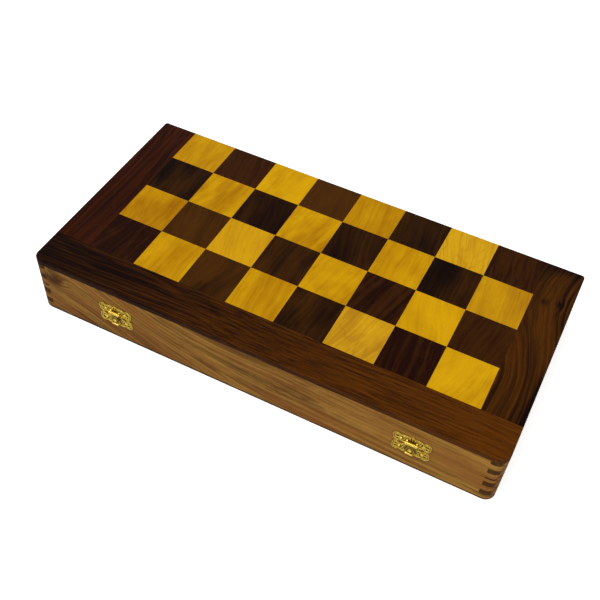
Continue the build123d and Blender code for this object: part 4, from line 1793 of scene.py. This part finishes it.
    def _crown(self, shape: ManShape, top: float) -> list[Pair]:
        """Draw a flared crown from the collar over its rim to the middle.

        Args:
            shape: The man's sizes.
            top: Height of the crown's top.

        Returns:
            The man's whole profile.
        """
        profile = shape.foot(self.rim)
        neck = profile[-1]
        rim = top - self.crown_drop
        edge = (shape.head - 0.5, rim + 0.5)
        flare = arc(neck, ((neck[0] + shape.head) / 2 - 0.35, (neck[1] + rim) / 2), (shape.head, rim), 12)
        return [*profile, *flare, edge, *arc(edge, (shape.head / 2, top - 0.5), (0, top), 12)]

    def _queen(self, shape: ManShape) -> list[Part]:
        """Turn a queen with a notched coronet and a ball.

        Args:
            shape: Its sizes.

        Returns:
            Its parts.
        """
        top = shape.height - 2 * self.ball + 0.5
        bend = partial(self._pointed, top - self.crown_drop, shape.head)
        return [turned(self._crown(shape, top), 96, bend), ball(self.ball, shape.height - self.ball)]

    def _pointed(self, rim: float, head: float, angle: float, radius: float, height: float) -> Pair:
        """Cut the notches between the points of the queen's coronet.

        Args:
            rim: Height of the coronet's rim.
            head: Its radius.
            angle: Angle of a point of the coronet.
            radius: Its radius.
            height: Its height.

        Returns:
            The point's radius and height with the notches.
        """
        pitch = 2 * math.pi / self.points
        away = ((angle / pitch + 0.5) % 1 - 0.5) * pitch * head
        near = max(0.0, 1 - abs(height - rim) / 2.2) * (radius > head * 0.6)
        return radius, height - 1.1 * near * math.sqrt(max(0.0, 1 - (away / 1.5) ** 2))

    def _king(self, shape: ManShape) -> list[Part]:
        """Turn a king with a plain crown and a cross with flared arms.

        Args:
            shape: Its sizes.

        Returns:
            Its parts.
        """
        span = self.cross[0]
        reach = span / 2 + 0.2
        up = (shape.height - span - 1.0, shape.height + 0.2)
        depth = partial(self._cross_depth, shape.height - span / 2)
        cross = Relief((-reach, reach), up, 0.2, depth, self._cross_face, None).build()
        cross.points = [(x, z, y) for x, y, z in cross.points]
        return [turned(self._crown(shape, shape.height - span), self.ribs), cross]

    def _cross_depth(self, middle: float, u: Grid, v: Grid) -> Grid:
        """Give the depth inside the cross and its shaft.

        Args:
            middle: Height of the cross's middle.
            u: Places across.
            v: Places up.

        Returns:
            The depth, which is negative outside them.
        """
        reach, arm = self.cross[0] / 2, self.cross[1] / 2
        across, up = abs(u), abs(v - middle)
        arms = [
            np.minimum(arm - 0.25 + 0.25 * far / reach - near, reach - far)
            for far, near in ((across, up), (up, across))
        ]
        shaft = np.minimum(arm - across, middle + 1 - v)
        return np.maximum(np.maximum(*arms), np.where(v < middle, shaft, -9))

    def _cross_face(self, u: Grid, v: Grid, inside: Grid) -> Grid:
        """Give half the cross's thickness, with rounded edges."""
        return self.cross[2] / 2 - 0.3 * np.clip(1 - inside / 0.4, 0, 1) ** 2

    def _rook(self, shape: ManShape) -> list[Part]:
        """Turn a rook with a hollow tower and battlements.

        Args:
            shape: Its sizes.

        Returns:
            Its part.
        """
        profile = shape.foot(self.rim)
        neck, head, height = profile[-1], shape.head, shape.height
        floor, well = height - 2.6, head - 2.4
        half_notch = self.notch / (head - 1.2)
        pitch = 2 * math.pi / self.battlements
        steps = [-half_notch - 0.002, -half_notch, 0.0, half_notch, half_notch + 0.002]
        steps += [half_notch + step * (pitch - 2 * half_notch) / 5 for step in (1, 2, 3, 4)]
        angles = [number * pitch + step for number in range(self.battlements) for step in steps]
        flare = arc(neck, ((neck[0] + head) / 2 - 0.3, (neck[1] + floor) / 2 - 1.0), (head, floor - 2.6), 8)
        tower = [(head, floor - 1.9), (head - 0.35, floor - 1.75), (head - 0.35, floor - 1.45)]
        tower += [(head, floor - 1.3), (head, height - 0.25), (head - 0.25, height)]
        tower += [(well + 0.25, height), (well, height - 0.25), (well, floor + 0.1), (well - 0.1, floor)]
        bend = partial(self._notched, floor, half_notch)
        return [turned([*profile, *flare, *tower, (0, floor)], angles, bend)]

    def _notched(self, floor: float, half: float, angle: float, radius: float, height: float) -> Pair:
        """Cut the notches between the rook's battlements.

        Args:
            floor: Height of the tower's floor.
            half: Half a notch's angle.
            angle: Angle of a point of the tower.
            radius: Its radius.
            height: Its height.

        Returns:
            The point's radius and height with the notches.
        """
        pitch = 2 * math.pi / self.battlements
        away = abs((angle + pitch / 2) % pitch - pitch / 2)
        low = away < half + 0.001 and height > floor + 0.2
        return radius, floor + 0.2 if low else height

    def _knight(self, shape: ManShape) -> list[Part]:
        """Make a knight: a horse's head and neck on a turned foot."""
        foot = turned([*shape.foot(self.rim), (0, shape.top + 0.1)], self.ribs)
        return [foot, Horse(shape.head, shape.top, shape.height - shape.top).carve()]


@dataclass
class Insert:
    """A flocked foam insert with a rounded pocket for each man. Sizes are in millimetres.

    Its top is drawn on lines a step apart, with closer ones beside the pockets' walls. Round each
    pocket a lip is sunk a little.
    """

    turnery: Turnery
    half: Half
    low: Point
    high: Point
    fit: float = 0.4
    step: float = 2.0
    beside: tuple[float, ...] = (-1.1, -0.45, -0.05, 0.05, 0.45, 1.1)
    clear: float = 0.8
    round_over: float = 0.7
    lip: float = 1.1
    lip_depth: float = 0.5

    def build(self, materials: dict[str, bpy.types.Material]) -> None:
        """Mould the insert.

        Args:
            materials: The finishes by name.
        """
        work = Workpiece(f"{self.half.body}_flocked_insert")
        work.add([self._block()])
        piece = work.object(materials["foam"], 60.0)
        place_piece(piece, self.half.body, "foam", f"{self.half.body}_foam_insert")

    def _pockets(self) -> list[tuple[float, float, float, float]]:
        """List the middle, the radius and the two ends of every step of every pocket.

        Returns:
            Two steps for each man, one for its foot and one for the rest of it.
        """
        pockets = []
        for kind, place in self.turnery.places(self.half):
            shape = self.turnery.shapes[kind]
            foot = place @ Vector((0, 0, 0))
            way = (place.to_3x3() @ Vector((0, 0, 1))).y
            body = shape.base if kind is Man.KNIGHT else max(shape.collar, shape.head)
            start = self.turnery.felt + self.fit
            for radius, run in ((shape.base, shape.foot_length), (body, shape.height + self.fit)):
                ends = sorted((foot.y - way * start, foot.y + way * run))
                pockets.append((foot.x, radius + self.fit, *ends))
        return pockets

    def _lines(self, axis: int, walls: Iterable[float]) -> Grid:
        """Space the lines of the top along one axis, closer beside the pockets' walls.

        Args:
            axis: The axis.
            walls: Where the walls are.

        Returns:
            The places of the lines.
        """
        low, high = self.low[axis] + self.round_over, self.high[axis] - self.round_over
        marks = sorted({round(wall + shift, 2) for wall in walls for shift in self.beside})
        marks = [mark for mark in marks if low < mark < high]
        even = np.linspace(low, high, round((high - low) / self.step) + 1)
        kept = [line for line in even if min(abs(line - mark) for mark in marks) > self.clear]
        return np.array(sorted({low, high, *marks, *kept}))

    def _sunk(self, x: Grid, y: Grid, pockets: Sequence[tuple[float, float, float, float]]) -> Grid:
        """Sink the pockets and the lips round them.

        Args:
            x: Places across.
            y: Places from front to back.
            pockets: Middle, radius and two ends of each step of the pockets.

        Returns:
            How far the top is sunk there.
        """
        sunk = np.zeros(x.shape)
        for middle, radius, near, far in pockets:
            across = abs(x - middle)
            within = np.minimum(y - near, far - y)
            hollow = np.sqrt(np.maximum(radius**2 - across**2, 0)) * (within >= 0)
            outside = np.hypot(np.maximum(across - radius, 0), np.maximum(-within, 0))
            rim = self.lip_depth * np.clip(1 - outside / self.lip, 0, 1) ** 2
            sunk = np.maximum(sunk, np.maximum(hollow, rim))
        return sunk

    def _block(self) -> Part:
        """Make the block: a top with its pockets, rounded sides and a flat bottom.

        Returns:
            The closed part.
        """
        pockets = self._pockets()
        xs = self._lines(0, (x + side * radius for x, radius, *_ in pockets for side in (-1, 1)))
        ys = self._lines(1, (end for pocket in pockets for end in pocket[2:]))
        up = -self.half.away
        top, bottom = (self.high[2], self.low[2]) if up > 0 else (self.low[2], self.high[2])
        x, y = np.meshgrid(xs, ys, indexing="ij")
        z = top - up * self._sunk(x, y, pockets)
        points = list(zip(*(array.ravel().tolist() for array in (x, y, z))))
        index = np.arange(x.size).reshape(x.shape)
        faces = list(zip(*(corner.ravel().tolist() for corner in four_corners(index))))
        row = [int(i) for i in (*index[:-1, 0], *index[-1, :-1], *index[:0:-1, -1], *index[0, :0:-1])]
        outline = [points[number] for number in row]
        edge, count = self.round_over, len(row)
        middle_x, middle_y = (xs[0] + xs[-1]) / 2, (ys[0] + ys[-1]) / 2
        grow_x, grow_y = edge / (xs[-1] - middle_x), edge / (ys[-1] - middle_y)
        sides = ((0.7, top - up * 0.2), (1.0, top - up * edge), (1.0, bottom + up * edge), (0.6, bottom))
        for push, height in sides:
            under = range(len(points), len(points) + count)
            for px, py, _ in outline:
                grown = (px + (px - middle_x) * grow_x * push, py + (py - middle_y) * grow_y * push)
                points.append((*grown, height))
            faces += [(row[i - 1], row[i], under[i], under[i - 1]) for i in range(count)]
            row = under
        return Part(points, [*faces, tuple(row)])


@dataclass
class Hinges:
    """The two butt hinges at the back and their screws. Sizes are in millimetres."""

    leaf_half: float = 16.0
    screw_inset: float = 6.0
    screw_pitch: float = 10.5

    def build(self, brass: bpy.types.Material) -> None:
        """Dress the leaves and pins, and set the screws into the rims of both halves.

        Args:
            brass: Their finish.
        """
        dress("hinge_pins", brass)
        middle = in_mm("tray_hinge_leaves")[1][0] - self.leaf_half
        row = in_mm("tray_back_wall")[1][1] - self.screw_inset
        shifts = (-self.screw_pitch, 0.0, self.screw_pitch)
        xs = [side * middle + shift for side in (-1, 1) for shift in shifts]
        for half, lean in ((Half.TRAY, 0.0), (Half.LID, math.pi)):
            dress(f"{half.body}_hinge_leaves", brass)
            places = [(x, row, Box.rim(half)) for x in xs]
            screws = Screws(f"{half.body}_slotted_screws", places, [lean] * len(xs), [1.0] * len(xs))
            screws.build(brass, half.body, "brass", f"{half.body}_hinge_screws")


@dataclass
class HalfBox:
    """The wooden pieces of one half, with the finish of each."""

    half: Half
    woods: tuple[tuple[str, str], ...] = (
        ("front_wall", "long_wall_wood"),
        ("back_wall", "long_wall_wood"),
        ("left_wall", "end_wall_wood"),
        ("right_wall", "end_wall_wood"),
        ("panel", "plywood"),
        ("light_squares", "light_wood"),
        ("dark_squares", "dark_wood"),
        ("front_rail", "front_rail_wood"),
        ("left_rail", "left_rail_wood"),
        ("right_rail", "right_rail_wood"),
    )

    def dress(self, materials: dict[str, bpy.types.Material]) -> None:
        """Give each wooden piece its finish."""
        for piece, wood in self.woods:
            dress(f"{self.half.body}_{piece}", materials[wood])


@dataclass(frozen=True)
class Lamp:
    """A large soft lamp that points at the box: its place and side in metres, and its power in watts."""

    name: str
    place: Point
    side: float
    power: float

    def hang(self) -> None:
        """Hang the lamp."""
        data = bpy.data.lights.new(self.name, "AREA")
        data.size = self.side
        data.energy = self.power
        lamp = link(self.name, data)
        lamp.location = self.place
        lamp.rotation_euler = (-Vector(self.place)).to_track_quat("-Z", "Y").to_euler()


@dataclass
class Studio:
    """The pale floor, the soft lights and the camera. Places are in metres and angles in degrees.

    The camera's line of sight meets the photograph at its centre pixel.
    """

    camera_place: Point = (0.21789, -0.51303, 0.64699)
    azimuth: float = 23.7906
    elevation: float = 51.0449
    roll: float = -3.9825
    focal_pixels: float = 872.71
    centre_pixel: Pair = (297.965, 338.629)
    frame_pixels: float = 600.0
    sensor: float = 36.0
    floor_side: float = 8.0
    floor_colour: Colour = (0.74, 0.74, 0.74)
    floor_glow: float = 0.6
    ambient: float = 0.5
    lamps: tuple[Lamp, ...] = (
        Lamp("key_light", (-0.6, -0.7, 2.1), 1.6, 36.0),
        Lamp("fill_light", (1.6, -0.3, 1.5), 1.4, 10.0),
    )

    def build(self) -> None:
        """Make the whole studio."""
        self._camera()
        self._floor()
        self._world()
        for lamp in self.lamps:
            lamp.hang()
        bpy.context.scene.view_settings.view_transform = "Standard"

    def _camera(self) -> None:
        """Stand the camera where the photograph was taken from."""
        data = bpy.data.cameras.new("camera")
        data.sensor_width = self.sensor
        data.lens = self.focal_pixels / self.frame_pixels * self.sensor
        data.shift_x = (self.frame_pixels / 2 - self.centre_pixel[0]) / self.frame_pixels
        data.shift_y = (self.centre_pixel[1] - self.frame_pixels / 2) / self.frame_pixels
        data.clip_start = 0.01
        camera = link("camera", data)
        turn = Matrix()
        for degrees, axis in ((self.azimuth, "Z"), (90 - self.elevation, "X"), (-self.roll, "Z")):
            turn = turn @ Matrix.Rotation(math.radians(degrees), 4, axis)
        camera.matrix_world = Matrix.Translation(self.camera_place) @ turn
        bpy.context.scene.camera = camera

    def _floor(self) -> None:
        """Lay a plain pale floor that the camera sees as white, with the object's shadow on it."""
        material = bpy.data.materials.new("studio_floor")
        graph = Graph.blank(material)
        matt = graph.node("ShaderNodeBsdfDiffuse", inputs={"Color": self.floor_colour})
        seen = graph.node("ShaderNodeLightPath", output="Is Camera Ray")
        white = {"Color": (1.0, 1.0, 1.0), "Strength": seen * self.floor_glow}
        glow = graph.node("ShaderNodeEmission", inputs=white)
        both = graph.node("ShaderNodeAddShader", inputs={0: matt, 1: glow})
        graph.node("ShaderNodeOutputMaterial", inputs={"Surface": both})
        mesh = bpy.data.meshes.new("studio_floor")
        reach, level = self.floor_side / 2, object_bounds()[0].z
        corners = [(x * reach, y * reach, level) for x, y in ((-1, -1), (1, -1), (1, 1), (-1, 1))]
        mesh.from_pydata(corners, [], [(0, 1, 2, 3)])
        mesh.materials.append(material)
        link("studio_floor", mesh)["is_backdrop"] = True

    def _world(self) -> None:
        """Surround the set with even light, white where it is seen or mirrored, with a dimmer ceiling."""
        world = bpy.data.worlds.new("studio")
        bpy.context.scene.world = world
        graph = Graph.blank(world)
        seen = graph.node("ShaderNodeLightPath", output="Is Camera Ray")
        mirrored = graph.also(seen, "Is Glossy Ray")
        passed = graph.also(seen, "Is Transmission Ray")
        up = graph.parts(graph.node("ShaderNodeTexCoord", output="Generated"))[2]
        white = (seen + passed + mirrored * up.ramp(0.2, 0.85, 1.0, -0.5)).smaller(1.0)
        light = {"Color": (1.0, 1.0, 1.0), "Strength": white * (1 - self.ambient) + self.ambient}
        glow = graph.node("ShaderNodeBackground", inputs=light)
        graph.node("ShaderNodeOutputWorld", inputs={"Surface": glow})


def woods() -> Iterator[Wood]:
    """Go through the woods of the squares, the rails, the walls and the men.

    Yields:
        Each wood.
    """
    common = {"grain": Grain.ALONG_Y, "cell": Box.square(), "roughness": 0.5, "specular": 0.04}
    yield Wood(
        "light_wood", pale=(200, 151, 4), deep=(136, 80, 0), pore=(112, 66, 4), base_shade=0.36,
        rings=150.0, ring_contrast=0.14, lines=300.0, line_contrast=0.34, fibre_contrast=0.14,
        pore_share=0.14, mottle=0.6, figure=0.2, curl=0.26, tint=(200, 154, 34), tint_share=0.36,
        cell_contrast=0.3, **common,
    )
    yield Wood(
        "dark_wood", pale=(70, 38, 2), deep=(12, 2, 0), pore=(12, 5, 3), base_shade=0.5,
        rings=90.0, ring_contrast=0.2, lines=260.0, line_contrast=0.44, fibre_contrast=0.14,
        mottle=0.8, figure=-0.14, curl=0.2, tint=(36, 8, 1), cell_contrast=0.55, seed=5.0, **common,
    )
    common = {"pore": (12, 5, 3), "roughness": 0.5, "specular": 0.04}
    swirl = (
        Knot((0.0, 0.065, 0.0), (0.0, 1.0, 0.0), 0.11, shift=0.020),
        Knot((0.2038, 0.064, 0.0), (1.0, 0.7, 0.0), 0.009, shift=0.0028, shade=0.4),
        Knot((0.2177, 0.067, 0.0), (1.0, 0.7, 0.0), 0.009, shift=-0.0028, shade=0.4),
        Knot((0.2310, -0.075, 0.0), (1.0, 0.13, 0.0), 0.020, shade=0.9),
        Knot((0.2100, 0.118, 0.0), (0.6, 1.0, 0.0), 0.040, shade=0.4),
    )
    # The front rail's drift is a painted sheen: the rail grows lighter from left to right.
    yield Wood(
        "front_rail_wood", grain=Grain.ALONG_X, pale=(90, 46, 1), deep=(12, 1, 0), base_shade=0.58,
        rings=500.0, ring_contrast=0.12, bow=0.004, lines=900.0, line_contrast=0.42, mottle=0.2,
        drift=1.4, **common,
    )
    yield Wood(
        "left_rail_wood", grain=Grain.ALONG_Y, pale=(62, 22, 2), deep=(12, 2, 0), base_shade=0.46,
        rings=300.0, ring_contrast=0.2, bow=0.006, lines=360.0, line_contrast=0.45, mottle=0.5,
        seed=2.0, **common,
    )
    yield Wood(
        "right_rail_wood", grain=Grain.ALONG_Y, pale=(82, 43, 2), deep=(14, 3, 0), base_shade=0.43,
        rings=260.0, ring_contrast=0.38, bow=0.007, lines=330.0, line_contrast=0.3, mottle=0.5,
        knots=swirl, seed=3.0, **common,
    )
    common = {"ring_contrast": 0.3, "line_contrast": 0.45, "drift": 0.5, "roughness": 0.5, "specular": 0.04}
    waves = (
        Knot((-0.207, 0.0, 0.044), (0.8, 0.0, 1.0), 0.018, lift=0.012, shade=0.5),
        Knot((-0.260, 0.0, 0.0), (1.0, 0.0, 0.0), 0.280, lift=-0.075),
        Knot((-0.080, 0.0, 0.070), (0.5, 0.0, 1.0), 0.060, lift=0.02),
    )
    yield Wood(
        "long_wall_wood", grain=Grain.ALONG_X, pale=(170, 124, 52), deep=(70, 38, 6), pore=(58, 30, 8),
        base_shade=0.42, rings=170.0, bow=0.008, log_tilt=0.5, lines=260.0, mottle=0.4,
        knots=waves, seed=1.0, tint=(126, 72, 26), tint_share=0.6, end_darkness=0.6, **common,
    )
    yield Wood(
        "end_wall_wood", grain=Grain.ALONG_Y, pale=(150, 104, 40), deep=(70, 38, 8), pore=(34, 19, 6),
        base_shade=0.40, rings=160.0, log_tilt=0.6, mottle=0.45, end_darkness=0.8, seed=4.0,
        tint=(104, 56, 20), tint_share=0.4, **common,
    )
    common = {"grain": Grain.ALONG_Y, "rings": 320.0}
    yield Wood(
        "boxwood", pale=(226, 186, 120), deep=(190, 142, 76), pore=(150, 104, 52), ring_contrast=0.3,
        line_contrast=0.25, pore_share=0.1, roughness=0.32, specular=0.4, **common,
    )
    yield Wood(
        "ebonised_wood", pale=(74, 44, 30), deep=(32, 18, 13), pore=(14, 8, 6), ring_contrast=0.35,
        pore_share=0.15, roughness=0.3, specular=0.45, **common,
    )


def finishes() -> dict[str, bpy.types.Material]:
    """Make the material of every finish of the set.

    Returns:
        The materials by name.
    """
    every = [
        *woods(),
        Plywood("plywood", roughness=0.7),
        Brass("brass", roughness=0.3),
        Brass("clasp_brass", roughness=0.26, worked=True),
        Flock("foam", roughness=0.95, specular=0.1),
        Flock("baize", body=(0.02, 0.10, 0.04), tips=(0.05, 0.20, 0.08), roughness=0.95, specular=0.1),
    ]
    return {finish.name: finish.material() for finish in every}


def write_sizes() -> None:
    """Put the frame's box and the dressed model's box side by side; the result is not kept."""
    boxes = {"cad": CAD_BOX, "visual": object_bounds()}
    {name: [list(corner) for corner in box] for name, box in boxes.items()}


def main() -> None:
    """Build the classes in order."""
    logging.basicConfig(level=logging.INFO, format="%(name)s: %(message)s")
    materials = finishes()
    Studio().build()
    for half in Half:
        HalfBox(half).dress(materials)
    Hinges().build(materials["brass"])
    Clasp.on_frame().build(materials)
    turnery = Turnery(*in_mm("tray_foam_insert"), Box.parting())
    turnery.build(materials)
    for half in Half:
        Insert(turnery, half, *in_mm(f"{half.body}_foam_insert")).build(materials)
    write_sizes()


if __name__ == "__main__":
    main()
